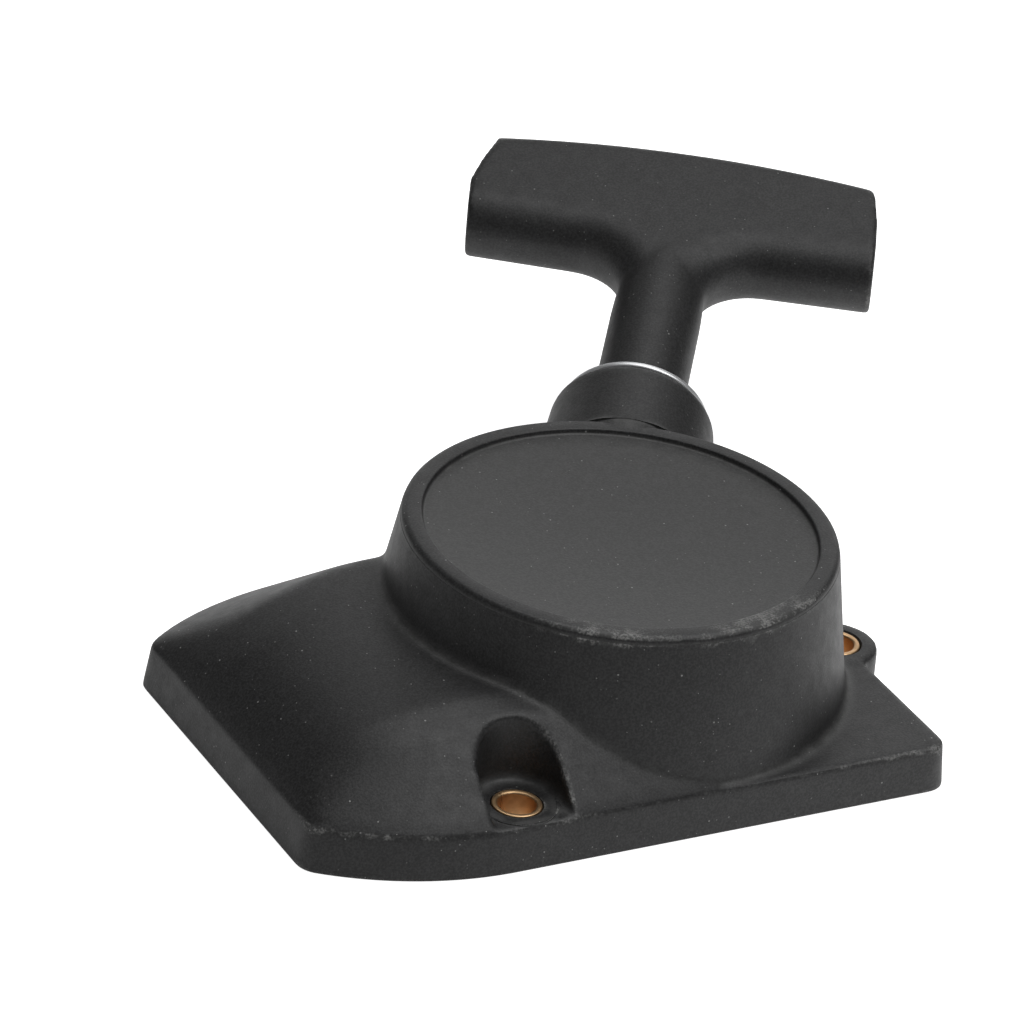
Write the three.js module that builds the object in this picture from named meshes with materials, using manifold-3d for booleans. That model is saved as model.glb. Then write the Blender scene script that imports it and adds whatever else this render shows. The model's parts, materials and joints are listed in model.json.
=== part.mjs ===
// Recoil starter of a small two-stroke engine: a moulded housing that bolts on over the
// flywheel, with a rope pulley, a flat rewind spring, two pawls and a T-handle.
// Millimetres, +Z up. The origin is on the crankshaft axis, in the housing's mounting plane.
// +X runs along the straight front edge and +Y points to the side where the rope leaves.

import * as THREE from 'three';
import { mergeVertices } from 'three/addons/utils/BufferGeometryUtils.js';
import { ConvexGeometry } from 'three/addons/geometries/ConvexGeometry.js';
import Module from 'manifold-3d';

// ---------------------------------------------------------------- driving dimensions

const WALL = 2.5;                 // moulded wall
const WELL_WALL = 1.9;            // wall between the reel's well and the shoulder's hollow
const POCKET_WALL = 2;            // wall round a screw pocket
const DRAFT = 0.165;              // drum wall, radius per height

const DRUM = { top: 35, radius: 37.5, edge: 0.9, recess: 34, recessDepth: 1 };
const FLANGE = {
  height: 8, left: -73.5, right: 45.1, front: -44.2, taper: 0.9, corner: 4.5,
};
const MIDLINE = -1.2;             // y of the line that the wide left half mirrors about
const HIP_ARC = { x: -39.5, radius: 55 };   // rounding from the front edge to the left one
const SHOULDER = { rise: 14.4, run: 10.5, crest: 22.6, backLeft: 19, backDrum: 24.5 };
const RIB = { thick: 1.8, from: -70, to: -41.4, low: 2.5, places: [-26, 0, 24] };

const SCREW = { x: -36.3, y: -36.2, pocket: 7.4 };
const LUG = { x: 42.7, y: -6.9, radius: 7.7, pocket: 5.6, proud: 0.2 };
const GUSSET = { from: 41, to: 52, half: 3, high: 14 };
const BACK_EDGE = { inner: [12, 25], outerY: -7 };   // the flange is cut back behind the drum
const BUSH = { bore: 3.25, outer: 4.28, gap: 0.14, length: 8.1, boss: 6.8 };

const PULL = { azimuth: 54, rise: 15, ring: [31.3, 49.4, 25] };
const COLLAR = { radius: 14.75, round: 2, draft: 0.05, length: 30, bore: 5.6 };
const EYELET = { flange: 13.5, thick: 1.2, tube: 5.3, hole: 2.3, depth: 16, lip: 1.6 };

const GRIP = {
  low: 40.3, high: 67, crown: 2.7, thick: 14.4, near: 37.9, far: 34.6, shift: 0.3,
  edge: 3, fillet: 9, stem: 8.25, seat: 0.3, ropeEnd: 54, room: 3.8, turn: -1.2,
};
const ROPE = { radius: 1.5, woundInner: 20.2, woundOuter: 28, level: 18.1, knot: 2.9 };
const ROPE_WAY = { radius: 8.2, from: -34 };   // clears the rope inside the collar

const POST = { radius: 3.4, low: 6.8, screwHole: 2 };
const SLEEVE = { inner: 3.5, outer: 4.5, low: 6.9, high: 31 };
const CAVITY = { top: 31.5, radius: 35 };
const PULLEY = {
  bore: 4.58, radius: 31, core: 20, hub: 8, springHub: 8.6,
  low: 9.5, flangeLow: 13.4, grooveLow: 15, grooveHigh: 21.2, flangeHigh: 22.6, high: 29.9,
};
const HOOK_SLOT = { from: 6.5, to: 10, half: 1 };
const KNOT_ROOM = { from: 12, to: 21, near: 3.5, far: 11, half: 2.8 };
const REEL_KNOT = { x: 15.6, y: 7, scale: 0.72 };
const SPRING = { low: 24.1, high: 29.9, inner: 9.4, outer: 29.6, turns: 9, strip: 0.5, hook: 7 };
const CASE = { outer: 32.6, wall: 1, low: 23.9, high: 31.2, hole: 5.6 };
const COVER = { low: 23, high: 23.6, hole: 9.4 };

const PAWL = {
  pivot: 16, pin: 1.6, clear: 0.05, low: 9.8, high: 12.8, swing: 35, lead: 43,
  eye: 3.2, nose: 19.4, tip: 3.2, toe: 1.4,
};
const PIN = { high: 18 };
const GUIDE = { low: 8.1, high: 9.2, radius: 22.5, hole: 5.2, swing: 40, slot: 1.75 };
const DRIVE_PIN = { radius: 1.2, low: 8.2, reach: 7.1, angle: -100 };
const FRICTION = { low: 6.9, wire: 0.5, radius: 6.6 };
const WASHER = { low: 5.5, high: 6.6, radius: 8.5, hole: 2.1 };
const CENTRE_SCREW = { head: 4.6, headLow: 2.4, shank: 1.85, top: 26, socket: 1.9, socketTop: 4.4 };

const LARGE = 72;                 // facets on the drum
const ROUND = 48;                 // facets on a large circle
const SMALL = 24;                 // facets on a small circle
const FINE = 14;                  // facets on the guide slot's beads

// ------------------------------------------------------------------------- geometry

const wasm = await Module();
wasm.setup();

// Merges shared vertices, drops empty triangles and turns the faces outwards.
function closed(geometry) {
  const bare = geometry.index ? geometry.toNonIndexed() : geometry.clone();
  bare.deleteAttribute('normal');
  bare.deleteAttribute('uv');
  const merged = mergeVertices(bare, 1e-4);
  const corner = [0, 1, 2].map(() => new THREE.Vector3());
  const source = merged.index.array;
  const kept = [];
  let volume = 0;
  for (let i = 0; i < source.length; i += 3) {
    const face = [source[i], source[i + 1], source[i + 2]];
    if (new Set(face).size < 3) continue;
    kept.push(...face);
    face.forEach((index, k) => corner[k].fromBufferAttribute(merged.attributes.position, index));
    volume += corner[0].dot(corner[1].cross(corner[2]));
  }
  if (volume < 0) kept.reverse();
  merged.setIndex(kept);
  return merged;
}

function solid(geometry) {
  const clean = closed(geometry);
  return new wasm.Manifold(new wasm.Mesh({
    numProp: 3,
    vertProperties: new Float32Array(clean.attributes.position.array),
    triVerts: new Uint32Array(clean.index.array),
  }));
}

function surface(manifold) {
  const mesh = manifold.getMesh();
  const geometry = new THREE.BufferGeometry();
  geometry.setAttribute('position', new THREE.BufferAttribute(mesh.vertProperties, 3));
  geometry.setIndex(new THREE.BufferAttribute(mesh.triVerts, 1));
  return geometry;
}

function join(parts) {
  return parts.reduce((all, part) => all.add(part));
}

function cut(body, parts) {
  return parts.reduce((rest, part) => rest.subtract(part), body);
}

// A solid turned about Z from [radius, z] points that start and end on the axis or close.
function turned(profile, facets = ROUND) {
  const points = profile.map(([radius, z]) => new THREE.Vector2(radius, z));
  return new THREE.LatheGeometry(points, facets).rotateX(Math.PI / 2);
}

function disc(radius, low, high, facets = SMALL) {
  return turned([[0, low], [radius, low], [radius, high], [0, high]], facets);
}

function tube(inner, outer, low, high, facets = SMALL) {
  return turned([[inner, low], [outer, low], [outer, high], [inner, high], [inner, low]], facets);
}

function block(x0, x1, y0, y1, z0, z1) {
  return new THREE.BoxGeometry(x1 - x0, y1 - y0, z1 - z0)
    .translate((x0 + x1) / 2, (y0 + y1) / 2, (z0 + z1) / 2);
}

function prism(shape, low, high, segments = 8) {
  return new THREE.ExtrudeGeometry(shape, {
    depth: high - low, bevelEnabled: false, curveSegments: segments,
  }).translate(0, 0, low);
}

const degrees = THREE.MathUtils.degToRad;

// -------------------------------------------------------------------- the pull frame
// Its origin is the centre of the eyelet's outer face. Z is the way the rope is pulled,
// X lies level, along the T-bar, and Y points up.

const pullAxis = new THREE.Vector3(1, 0, 0)
  .applyAxisAngle(new THREE.Vector3(0, 1, 0), -degrees(PULL.rise))
  .applyAxisAngle(new THREE.Vector3(0, 0, 1), degrees(PULL.azimuth));
const barAxis = new THREE.Vector3(0, 0, 1).cross(pullAxis).normalize();
const riseAxis = new THREE.Vector3().crossVectors(pullAxis, barAxis);
const ringCentre = new THREE.Vector3(...PULL.ring);
const pullFrame = new THREE.Matrix4().makeBasis(barAxis, riseAxis, pullAxis)
  .setPosition(ringCentre);

// -------------------------------------------------------------------------- housing

// Height of the shoulder that climbs from the left edge to the drum.
function shoulderHeight(x, inset, rise) {
  const left = FLANGE.left + FLANGE.taper + inset;
  return FLANGE.height - inset + rise * (1 - Math.exp(-(x - left) / SHOULDER.run));
}

// The small arc that rounds the corner between the hip's arc and the left edge.
function flangeCorner(inward) {
  const radius = FLANGE.corner - inward / 2;
  const x = FLANGE.left + inward + radius;
  const reach = HIP_ARC.radius - inward - radius;
  const slope = Math.asin((HIP_ARC.x - x) / reach);
  const half = MIDLINE - FLANGE.front - HIP_ARC.radius + reach * Math.cos(slope);
  return { radius, x, half, slope, from: x - radius * Math.sin(slope) };
}

// Half width, from the mid-line, of the flange outline at x, moved in by a distance.
function halfWidth(x, inward) {
  const half = MIDLINE - FLANGE.front;
  if (x >= HIP_ARC.x) return half - inward;
  const corner = flangeCorner(inward);
  if (x < corner.from) {
    return corner.half + Math.sqrt(Math.max(corner.radius ** 2 - (corner.x - x) ** 2, 0));
  }
  return half - HIP_ARC.radius + Math.sqrt((HIP_ARC.radius - inward) ** 2 - (x - HIP_ARC.x) ** 2);
}

// The rounded wide left half, closed through the drum.
function flangeOutline(inset) {
  const corner = flangeCorner(inset);
  const columns = 9;
  const turn = 4;
  const places = [];
  for (let i = 0; i <= columns; i += 1) {
    places.push(HIP_ARC.x + (corner.from - HIP_ARC.x) * (i / columns));
  }
  for (let i = 1; i <= turn; i += 1) {
    const angle = corner.slope + (Math.PI / 2 - corner.slope) * (i / turn);
    places.push(corner.x - corner.radius * Math.sin(angle));
  }
  const side = places.map((x) => [x, halfWidth(x, inset)]);
  const front = side.map(([x, half]) => new THREE.Vector2(x, MIDLINE - half));
  const back = side.map(([x, half]) => new THREE.Vector2(x, MIDLINE + half)).reverse();
  return { front, back };
}

function flangePlate(inset, low, high, taper) {
  const { front, back } = flangeOutline(inset);
  const shape = new THREE.Shape();
  const right = FLANGE.right - inset;
  const edge = FLANGE.front + inset;
  const corner = FLANGE.corner;
  shape.moveTo(right, BACK_EDGE.outerY);
  shape.lineTo(...BACK_EDGE.inner);
  shape.lineTo(0, back.at(-1).y);
  back.toReversed().forEach((p) => shape.lineTo(p.x, p.y));
  front.toReversed().forEach((p) => shape.lineTo(p.x, p.y));
  shape.lineTo(right - corner, edge);
  shape.quadraticCurveTo(right, edge, right, edge + corner);
  shape.closePath();
  if (!taper) return solid(prism(shape, low, high));
  const tapered = new THREE.ExtrudeGeometry(shape, {
    depth: 1, curveSegments: 4, bevelSegments: 1,
    bevelThickness: high - low, bevelSize: taper, bevelOffset: -taper,
  }).translate(0, 0, low - 1);
  const trim = block(-200, 200, -200, 200, low, high + 1);
  return solid(tapered).intersect(solid(trim));
}

// Half width of the shoulder's top strip behind the mid-line, wider towards the drum.
function backCrest(x) {
  const share = (x - FLANGE.left) / (HIP_ARC.x - FLANGE.left);
  return THREE.MathUtils.lerp(SHOULDER.backLeft, SHOULDER.backDrum, Math.min(share, 1));
}

// The hump between the left edge and the drum: a flat strip with hips down to the flange.
function shoulder(inset, rise) {
  const points = [];
  const columns = 16;
  const crowding = 1.7;             // sets the columns closer at the steep left end
  const start = FLANGE.left + FLANGE.taper + inset;
  const low = FLANGE.height - inset;
  for (let i = 0; i <= columns; i += 1) {
    const x = start * (1 - (i / columns) ** crowding);
    const foot = halfWidth(x, FLANGE.taper + inset);
    const high = shoulderHeight(x, inset, rise);
    const drawnIn = 0.7 * inset;
    for (const z of [low - 1, low]) {
      points.push(new THREE.Vector3(x, MIDLINE - foot, z));
      points.push(new THREE.Vector3(x, MIDLINE + foot, z));
    }
    points.push(new THREE.Vector3(x, MIDLINE - SHOULDER.crest + drawnIn, high));
    points.push(new THREE.Vector3(x, MIDLINE + backCrest(x) - drawnIn, high));
  }
  return solid(new ConvexGeometry(points));
}

function drum() {
  const { top, radius, edge, recess, recessDepth } = DRUM;
  const foot = radius + DRAFT * top;
  const nearTop = radius - 0.3 * edge;
  return solid(turned([
    [0, 0], [foot, 0], [radius + DRAFT * edge, top - edge], [nearTop, top - 0.3 * edge],
    [radius - edge, top], [recess + 0.3, top], [recess, top - recessDepth],
    [0, top - recessDepth],
  ], LARGE));
}

function collar() {
  const { radius, round, draft, length } = COLLAR;
  const end = -EYELET.thick - 0.3;
  const body = turned([
    [0, -length], [radius + draft * length, -length], [radius, end - round],
    [radius - 0.3 * round, end - 0.3 * round], [radius - round, end], [0, end],
  ], ROUND);
  return solid(body.applyMatrix4(pullFrame));
}

function bossAt(x, y) {
  return solid(disc(BUSH.boss, 0, FLANGE.height).translate(x, y, 0));
}

function bushHoleAt(x, y) {
  return solid(disc(BUSH.outer + BUSH.gap, -1, FLANGE.height + 4).translate(x, y, 0));
}

// A screw pocket: a round end at the screw, open towards the flange's edge.
function pocketAt(x, y, outward) {
  const roundEnd = disc(SCREW.pocket, FLANGE.height, DRUM.top).translate(x, y, 0);
  const mouth = block(
    x - SCREW.pocket, x + SCREW.pocket, Math.min(y, y + outward), Math.max(y, y + outward),
    FLANGE.height, DRUM.top,
  );
  return solid(roundEnd).add(solid(mouth));
}

// The scallop in the drum's wall that clears the screw head on the lug.
function lugPocket() {
  return solid(disc(LUG.pocket, FLANGE.height + LUG.proud, DRUM.top + 1)
    .translate(LUG.x, LUG.y, 0));
}

const screwPlaces = [
  [SCREW.x, SCREW.y],
  [LUG.x, LUG.y],
  [SCREW.x, 2 * MIDLINE - SCREW.y],
];

function housing() {
  const lug = turned([
    [0, 0], [LUG.radius, 0], [LUG.radius - 0.3, FLANGE.height + LUG.proud],
    [0, FLANGE.height + LUG.proud],
  ], ROUND).translate(LUG.x, LUG.y, 0);
  const gusset = block(GUSSET.from, GUSSET.to, -GUSSET.half, GUSSET.half, 0, GUSSET.high)
    .rotateZ(degrees(PULL.azimuth));
  const outside = join([
    flangePlate(0, 0, FLANGE.height, FLANGE.taper),
    shoulder(0, SHOULDER.rise), drum(), collar(), solid(lug), solid(gusset),
  ]);

  const foot = CAVITY.radius + DRAFT * (CAVITY.top + 1);
  const well = solid(turned([
    [0, -1], [foot, -1], [CAVITY.radius, CAVITY.top], [0, CAVITY.top],
  ], LARGE));
  const wellWall = solid(disc(foot + WELL_WALL, 2, DRUM.top + 5, LARGE));
  const hollow = flangePlate(WALL, -1, FLANGE.height - WALL, 0)
    .add(shoulder(WALL, SHOULDER.rise))
    .subtract(wellWall);
  const backPocket = screwPlaces[2];
  const pockets = [
    pocketAt(SCREW.x, SCREW.y, -20),
    pocketAt(backPocket[0], backPocket[1], 20),
    lugPocket(),
  ];
  const shell = cut(outside, [well, hollow]);

  const pocketWalls = screwPlaces.map(([x, y]) => {
    const radius = (x === LUG.x ? LUG.pocket : SCREW.pocket) + POCKET_WALL;
    return solid(disc(radius, 0, DRUM.top).translate(x, y, 0)).intersect(outside);
  });
  const ribs = RIB.places.map((y) => {
    const side = RIB.thick / 2;
    const rib = block(RIB.from, RIB.to, y - side, y + side, RIB.low, DRUM.top);
    return solid(rib).intersect(outside);
  });
  const post = solid(disc(POST.radius, POST.low, CAVITY.top + 1, ROUND));
  const bosses = screwPlaces.map(([x, y]) => bossAt(x, y).intersect(outside));
  const filled = join([shell, ...pocketWalls, ...ribs, ...bosses, post]);

  const eyeletSeat = solid(disc(COLLAR.bore, -EYELET.depth - 1, 2).applyMatrix4(pullFrame));
  const wayEnd = -EYELET.depth - 0.4;
  const ropeWay = solid(disc(ROPE_WAY.radius, ROPE_WAY.from, wayEnd).applyMatrix4(pullFrame))
    .subtract(solid(disc(CAVITY.radius - 6, 0, DRUM.top)));
  return cut(filled, [
    ...pockets, ...screwPlaces.map(([x, y]) => bushHoleAt(x, y)),
    solid(disc(POST.screwHole, POST.low - 1, CENTRE_SCREW.top + 1)),
    eyeletSeat, ropeWay,
  ]);
}

// ------------------------------------------------------------------ rope guide, grip

function eyelet() {
  const { flange, thick, tube: outer, hole, depth, lip } = EYELET;
  const profile = [
    [hole, -depth + lip], [hole, -lip], [hole + 0.3 * lip, -0.3 * lip], [hole + lip, 0],
    [flange - 0.3, 0], [flange, -0.3], [flange, -thick + 0.3], [flange - 0.3, -thick],
    [outer, -thick], [outer, -depth + 0.4], [outer - 0.4, -depth], [hole + lip, -depth],
    [hole + 0.3 * lip, -depth + 0.3 * lip], [hole, -depth + lip],
  ];
  return turned(profile);
}

// The T seen along Y, longer than the real one at its three ends, which are cut later.
function gripOutline() {
  const { low, high, crown, far, fillet, stem } = GRIP;
  const long = 52;
  const fall = crown * (long / far) ** 2;
  const shape = new THREE.Shape();
  shape.moveTo(-stem + 1, -12);
  shape.lineTo(stem - 1, -12);
  shape.lineTo(stem - 1, low - fillet);
  shape.quadraticCurveTo(stem - 1, low - 0.5, stem + fillet, low);
  shape.lineTo(long, low + 0.6);
  shape.lineTo(long, high - fall);
  shape.quadraticCurveTo(0, high + fall, -long, high - fall);
  shape.lineTo(-long, low + 0.6);
  shape.lineTo(-stem - fillet, low);
  shape.quadraticCurveTo(-stem + 1, low - 0.5, -stem + 1, low - fillet);
  shape.closePath();
  return shape;
}

function grip() {
  const { low, high, thick, near, far, edge, stem, seat, ropeEnd } = GRIP;
  const flatT = new THREE.ExtrudeGeometry(gripOutline(), {
    depth: thick - 2 * edge, curveSegments: 9, bevelSegments: 3,
    bevelThickness: edge, bevelSize: edge, bevelOffset: -edge,
  }).translate(0, 0, edge - thick / 2).rotateX(Math.PI / 2);
  const middle = (low + high) / 2;
  const ends = new THREE.Shape();
  ends.moveTo(-near, seat);
  ends.lineTo(near, seat);
  ends.lineTo(near, low + 4);
  ends.quadraticCurveTo(near, middle + 3, far, high);
  ends.lineTo(far, high + 20);
  ends.lineTo(-far, high + 20);
  ends.lineTo(-far, high);
  ends.quadraticCurveTo(-near, middle + 3, -near, low + 4);
  ends.closePath();
  const trim = prism(ends, -thick, thick, 4).rotateX(Math.PI / 2);
  const neck = turned([
    [0, seat], [stem - 0.5, seat], [stem, seat + 0.5], [stem, low - 8],
    [thick / 2 - 0.3, low + 5], [0, low + 5],
  ]);
  const knotRoom = disc(GRIP.room, ropeEnd - 2, high + 20);
  const capSeat = disc(GRIP.room + 1, high - 1.2, high + 20);
  const bar = solid(flatT).intersect(solid(trim)).rotate([0, 0, GRIP.turn]);
  return cut(bar.translate([GRIP.shift, 0, 0]).add(solid(neck)), [
    solid(disc(ROPE.radius + 0.7, -5, ropeEnd)), solid(knotRoom), solid(capSeat),
  ]);
}

// Domed plug that closes the knot room in the grip's outer face.
function gripCap() {
  const { high, room } = GRIP;
  const neck = room - 0.4;
  const rim = room + 0.7;
  return turned([
    [0, high - 4], [neck, high - 4], [neck, high - 0.9], [rim, high - 0.9],
    [rim, high - 0.5], [neck, high - 0.1], [0, high],
  ], SMALL);
}

function knotPlate() {
  const low = GRIP.ropeEnd - 1.6;
  return tube(ROPE.radius + 0.4, GRIP.room - 0.3, low, low + 1.8);
}

// A tight overhand knot is a fat bead with the rope's cut end standing out of it.
function knot(height) {
  const r = ROPE.knot;
  return turned([
    [0, height - r], [0.6 * r, height - 0.9 * r], [r, height - 0.35 * r],
    [r, height + 0.35 * r], [0.6 * r, height + 0.8 * r], [0.45 * r, height + 0.8 * r],
    [0.45 * r, height + 1.25 * r], [0, height + 1.25 * r],
  ], SMALL);
}

// ----------------------------------------------------------------------------- rope

// The rope leaves the winding at a tangent and enters the eyelet's inner mouth.
function ropeLead() {
  const mouth = new THREE.Vector3(0, 0, -EYELET.depth).applyMatrix4(pullFrame);
  const straightOut = new THREE.Vector3(0, 0, -0.4).applyMatrix4(pullFrame);
  const middle = new THREE.Vector3(0, 0, -EYELET.depth / 2).applyMatrix4(pullFrame);
  const reach = Math.hypot(mouth.x, mouth.y);
  const radius = ROPE.woundOuter + ROPE.radius + 0.1;
  const angle = Math.atan2(mouth.y, mouth.x) + Math.acos(radius / reach);
  const leave = new THREE.Vector3(radius * Math.cos(angle), radius * Math.sin(angle), ROPE.level);
  const inside = new THREE.Vector3(0, 0, -EYELET.depth + 3).applyMatrix4(pullFrame);
  const half = leave.clone().lerp(mouth, 0.5);
  const near = leave.clone().lerp(mouth, 0.82);
  const route = new THREE.CatmullRomCurve3([leave, half, near, inside, middle, straightOut]);
  const section = new THREE.Shape().absarc(0, 0, ROPE.radius, 0, 2 * Math.PI);
  return new THREE.ExtrudeGeometry(section, {
    steps: 14, curveSegments: 5, extrudePath: route,
  });
}

// The coiled rope as one ring, with a wavy outside where its turns lie side by side.
function ropeWinding() {
  const { woundInner, woundOuter, level, radius } = ROPE;
  return tube(woundInner, woundOuter, level - 2 * radius + 0.05, level + 2 * radius - 0.05, ROUND);
}

// --------------------------------------------------------------------------- pulley

function pulley() {
  const p = PULLEY;
  const body = solid(turned([
    [p.bore, p.low], [p.hub, p.low], [p.hub, p.flangeLow], [p.radius, p.flangeLow],
    [p.radius, p.grooveLow - 0.5], [p.core, p.grooveLow], [p.core, p.grooveHigh],
    [p.radius, p.grooveHigh + 0.4], [p.radius, p.flangeHigh], [p.springHub, p.flangeHigh],
    [p.springHub, p.high], [p.bore, p.high], [p.bore, p.low],
  ], ROUND));
  const pinHoles = [0, 180].map((turn) => {
    const hole = disc(PAWL.pin + PAWL.clear, PAWL.high + 0.3, PIN.high + 0.3);
    return solid(hole.translate(PAWL.pivot, 0, 0).rotateZ(degrees(turn)));
  });
  const hook = HOOK_SLOT;
  const hookSlot = block(hook.from, hook.to, -hook.half, hook.half, SPRING.low - 0.6, p.high + 1);
  const room = KNOT_ROOM;
  const knotRoom = block(
    room.from, room.to, room.near, room.far, ROPE.level - room.half, ROPE.level + room.half,
  );
  return cut(body, [...pinHoles, solid(hookSlot), solid(knotRoom)]);
}

// Rope end that is knotted inside the pulley's core.
function pulleyKnot() {
  const { x, y, scale } = REEL_KNOT;
  return knot(0).scale(scale, scale, scale).rotateX(Math.PI / 2).translate(x, y, ROPE.level);
}

// A strip wound as a spiral, with its inner end hooked into the pulley's hub.
function rewindSpring() {
  const { inner, outer, turns, strip, hook, low, high } = SPRING;
  const steps = turns * 17;
  const innerSide = [];
  const outerSide = [];
  for (let i = 0; i <= steps; i += 1) {
    const angle = 2 * Math.PI * turns * (i / steps);
    const radius = inner + (outer - inner) * (i / steps);
    innerSide.push(new THREE.Vector2(radius * Math.cos(angle), radius * Math.sin(angle)));
    const far = radius + strip;
    outerSide.push(new THREE.Vector2(far * Math.cos(angle), far * Math.sin(angle)));
  }
  const hookEnd = [new THREE.Vector2(hook, strip / 5), new THREE.Vector2(hook, -strip)];
  const outline = [...innerSide.reverse(), ...hookEnd, ...outerSide];
  return prism(new THREE.Shape(outline), low, high);
}

function springCase() {
  const { outer, wall, low, high, hole } = CASE;
  return turned([
    [outer - wall, low], [outer, low], [outer, high - 0.6], [outer - 0.6, high],
    [hole, high], [hole, high - 0.9], [outer - wall, high - 0.9], [outer - wall, low],
  ]);
}

// ---------------------------------------------------------------------------- pawls

const drivePin = new THREE.Vector2(
  DRIVE_PIN.reach * Math.cos(degrees(DRIVE_PIN.angle)),
  DRIVE_PIN.reach * Math.sin(degrees(DRIVE_PIN.angle)),
);

// A lever about its pivot at the origin, with its nose ahead in the pulling direction.
function pawl() {
  const { eye, nose: reach, tip, toe } = PAWL;
  const nose = new THREE.Vector2(
    reach * Math.cos(degrees(PAWL.lead)) - PAWL.pivot, -reach * Math.sin(degrees(PAWL.lead)),
  );
  const shape = new THREE.Shape();
  shape.moveTo(-eye, 0);
  shape.absarc(0, 0, eye, Math.PI, 0, true);
  shape.quadraticCurveTo(eye + 0.4, -7, nose.x + tip, nose.y);
  shape.lineTo(nose.x - 0.4, nose.y - toe);
  shape.quadraticCurveTo(-eye - 1.2, -6, -eye, 0);
  const bore = disc(PAWL.pin + PAWL.clear, 0, DRUM.top);
  const peg = disc(DRIVE_PIN.radius, DRIVE_PIN.low, PAWL.low + 0.5)
    .translate(drivePin.x, drivePin.y, 0);
  return solid(prism(shape, PAWL.low, PAWL.high, 6)).add(solid(peg)).subtract(solid(bore));
}

// The slot follows the pawl's peg as the plate turns and the pawl swings out.
function guideSlot() {
  const steps = 8;
  const beads = [];
  for (let i = 0; i <= steps; i += 1) {
    const share = i / steps;
    const peg = drivePin.clone().rotateAround(new THREE.Vector2(), degrees(PAWL.swing * share));
    peg.x += PAWL.pivot;
    peg.rotateAround(new THREE.Vector2(), -degrees(GUIDE.swing * share));
    const points = [];
    for (let k = 0; k < FINE; k += 1) {
      const angle = 2 * Math.PI * (k / FINE);
      const x = peg.x + GUIDE.slot * Math.cos(angle);
      const y = peg.y + GUIDE.slot * Math.sin(angle);
      points.push(new THREE.Vector3(x, y, GUIDE.low - 1), new THREE.Vector3(x, y, GUIDE.high + 1));
    }
    beads.push(points);
  }
  const links = [];
  for (let i = 0; i < steps; i += 1) {
    links.push(solid(new ConvexGeometry([...beads[i], ...beads[i + 1]])));
  }
  return join(links);
}

function pawlGuide() {
  const plate = solid(tube(GUIDE.hole, GUIDE.radius, GUIDE.low, GUIDE.high, ROUND));
  const slot = guideSlot();
  return cut(plate, [slot, slot.rotate([0, 0, 180])]);
}

// A springy ring with a gap, pressed between the guide plate and the thrust washer.
function frictionSpring() {
  const section = new THREE.Shape().absarc(0, 0, FRICTION.wire, 0, 2 * Math.PI);
  const points = [];
  for (let i = 0; i <= 12; i += 1) {
    const angle = degrees(20 + 320 * (i / 12));
    const x = FRICTION.radius * Math.cos(angle);
    const y = FRICTION.radius * Math.sin(angle);
    points.push(new THREE.Vector3(x, y, FRICTION.low + FRICTION.wire));
  }
  return new THREE.ExtrudeGeometry(section, {
    steps: 22, curveSegments: 3, extrudePath: new THREE.CatmullRomCurve3(points),
  });
}

function centreScrew() {
  const s = CENTRE_SCREW;
  const body = solid(turned([
    [0, s.headLow], [s.head - 0.8, s.headLow], [s.head, s.headLow + 0.8],
    [s.head, WASHER.low - 0.1], [s.shank, WASHER.low - 0.1], [s.shank, s.top - 1],
    [s.shank - 1, s.top], [0, s.top],
  ], SMALL));
  const socket = solid(disc(s.socket, s.headLow - 1, s.socketTop, 6));
  return body.subtract(socket);
}

// ------------------------------------------------------------------------- assembly

const FINISHES = {
  nylon: { color: 0x1b1b1c, roughness: 0.62, metalness: 0 },
  gripNylon: { color: 0x1d1d1e, roughness: 0.6, metalness: 0 },
  pulleyNylon: { color: 0x2a2b2d, roughness: 0.5, metalness: 0 },
  bronze: { color: 0xb0783c, roughness: 0.32, metalness: 1 },
  brightSteel: { color: 0xc4c6c8, roughness: 0.25, metalness: 1 },
  springSteel: { color: 0x5b616b, roughness: 0.35, metalness: 1 },
  zincSteel: { color: 0xa9abae, roughness: 0.4, metalness: 1 },
  rope: { color: 0xd9d6cc, roughness: 0.9, metalness: 0 },
};

function named(name, shape, finish) {
  const geometry = shape.isBufferGeometry ? closed(shape) : surface(shape);
  const mesh = new THREE.Mesh(geometry, new THREE.MeshStandardMaterial(FINISHES[finish]));
  mesh.name = name;
  return mesh;
}

const starter = new THREE.Group();
starter.add(named('starter_housing', housing(), 'nylon'));

['front', 'right', 'back'].forEach((place, i) => {
  const bush = named(`screw_bush_${place}`, tube(BUSH.bore, BUSH.outer, 0, BUSH.length), 'bronze');
  bush.position.set(screwPlaces[i][0], screwPlaces[i][1], 0);
  starter.add(bush);
});

starter.add(named('pivot_sleeve', tube(SLEEVE.inner, SLEEVE.outer, SLEEVE.low, SLEEVE.high, ROUND),
  'brightSteel'));
starter.add(named('spring_case', springCase(), 'zincSteel'));
starter.add(named('rewind_spring', rewindSpring(), 'springSteel'));
starter.add(named('spring_cover', tube(COVER.hole, CASE.outer, COVER.low, COVER.high, ROUND),
  'zincSteel'));
starter.add(named('rope_pulley', pulley(), 'pulleyNylon'));
starter.add(named('rope_winding', ropeWinding(), 'rope'));
starter.add(named('pulley_knot', pulleyKnot(), 'rope'));
starter.add(named('rope_lead', ropeLead(), 'rope'));
starter.add(named('pawl_guide_plate', pawlGuide(), 'zincSteel'));
starter.add(named('friction_spring', frictionSpring(), 'springSteel'));
starter.add(named('thrust_washer', tube(WASHER.hole, WASHER.radius, WASHER.low, WASHER.high),
  'zincSteel'));
starter.add(named('centre_screw', centreScrew(), 'brightSteel'));

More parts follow.
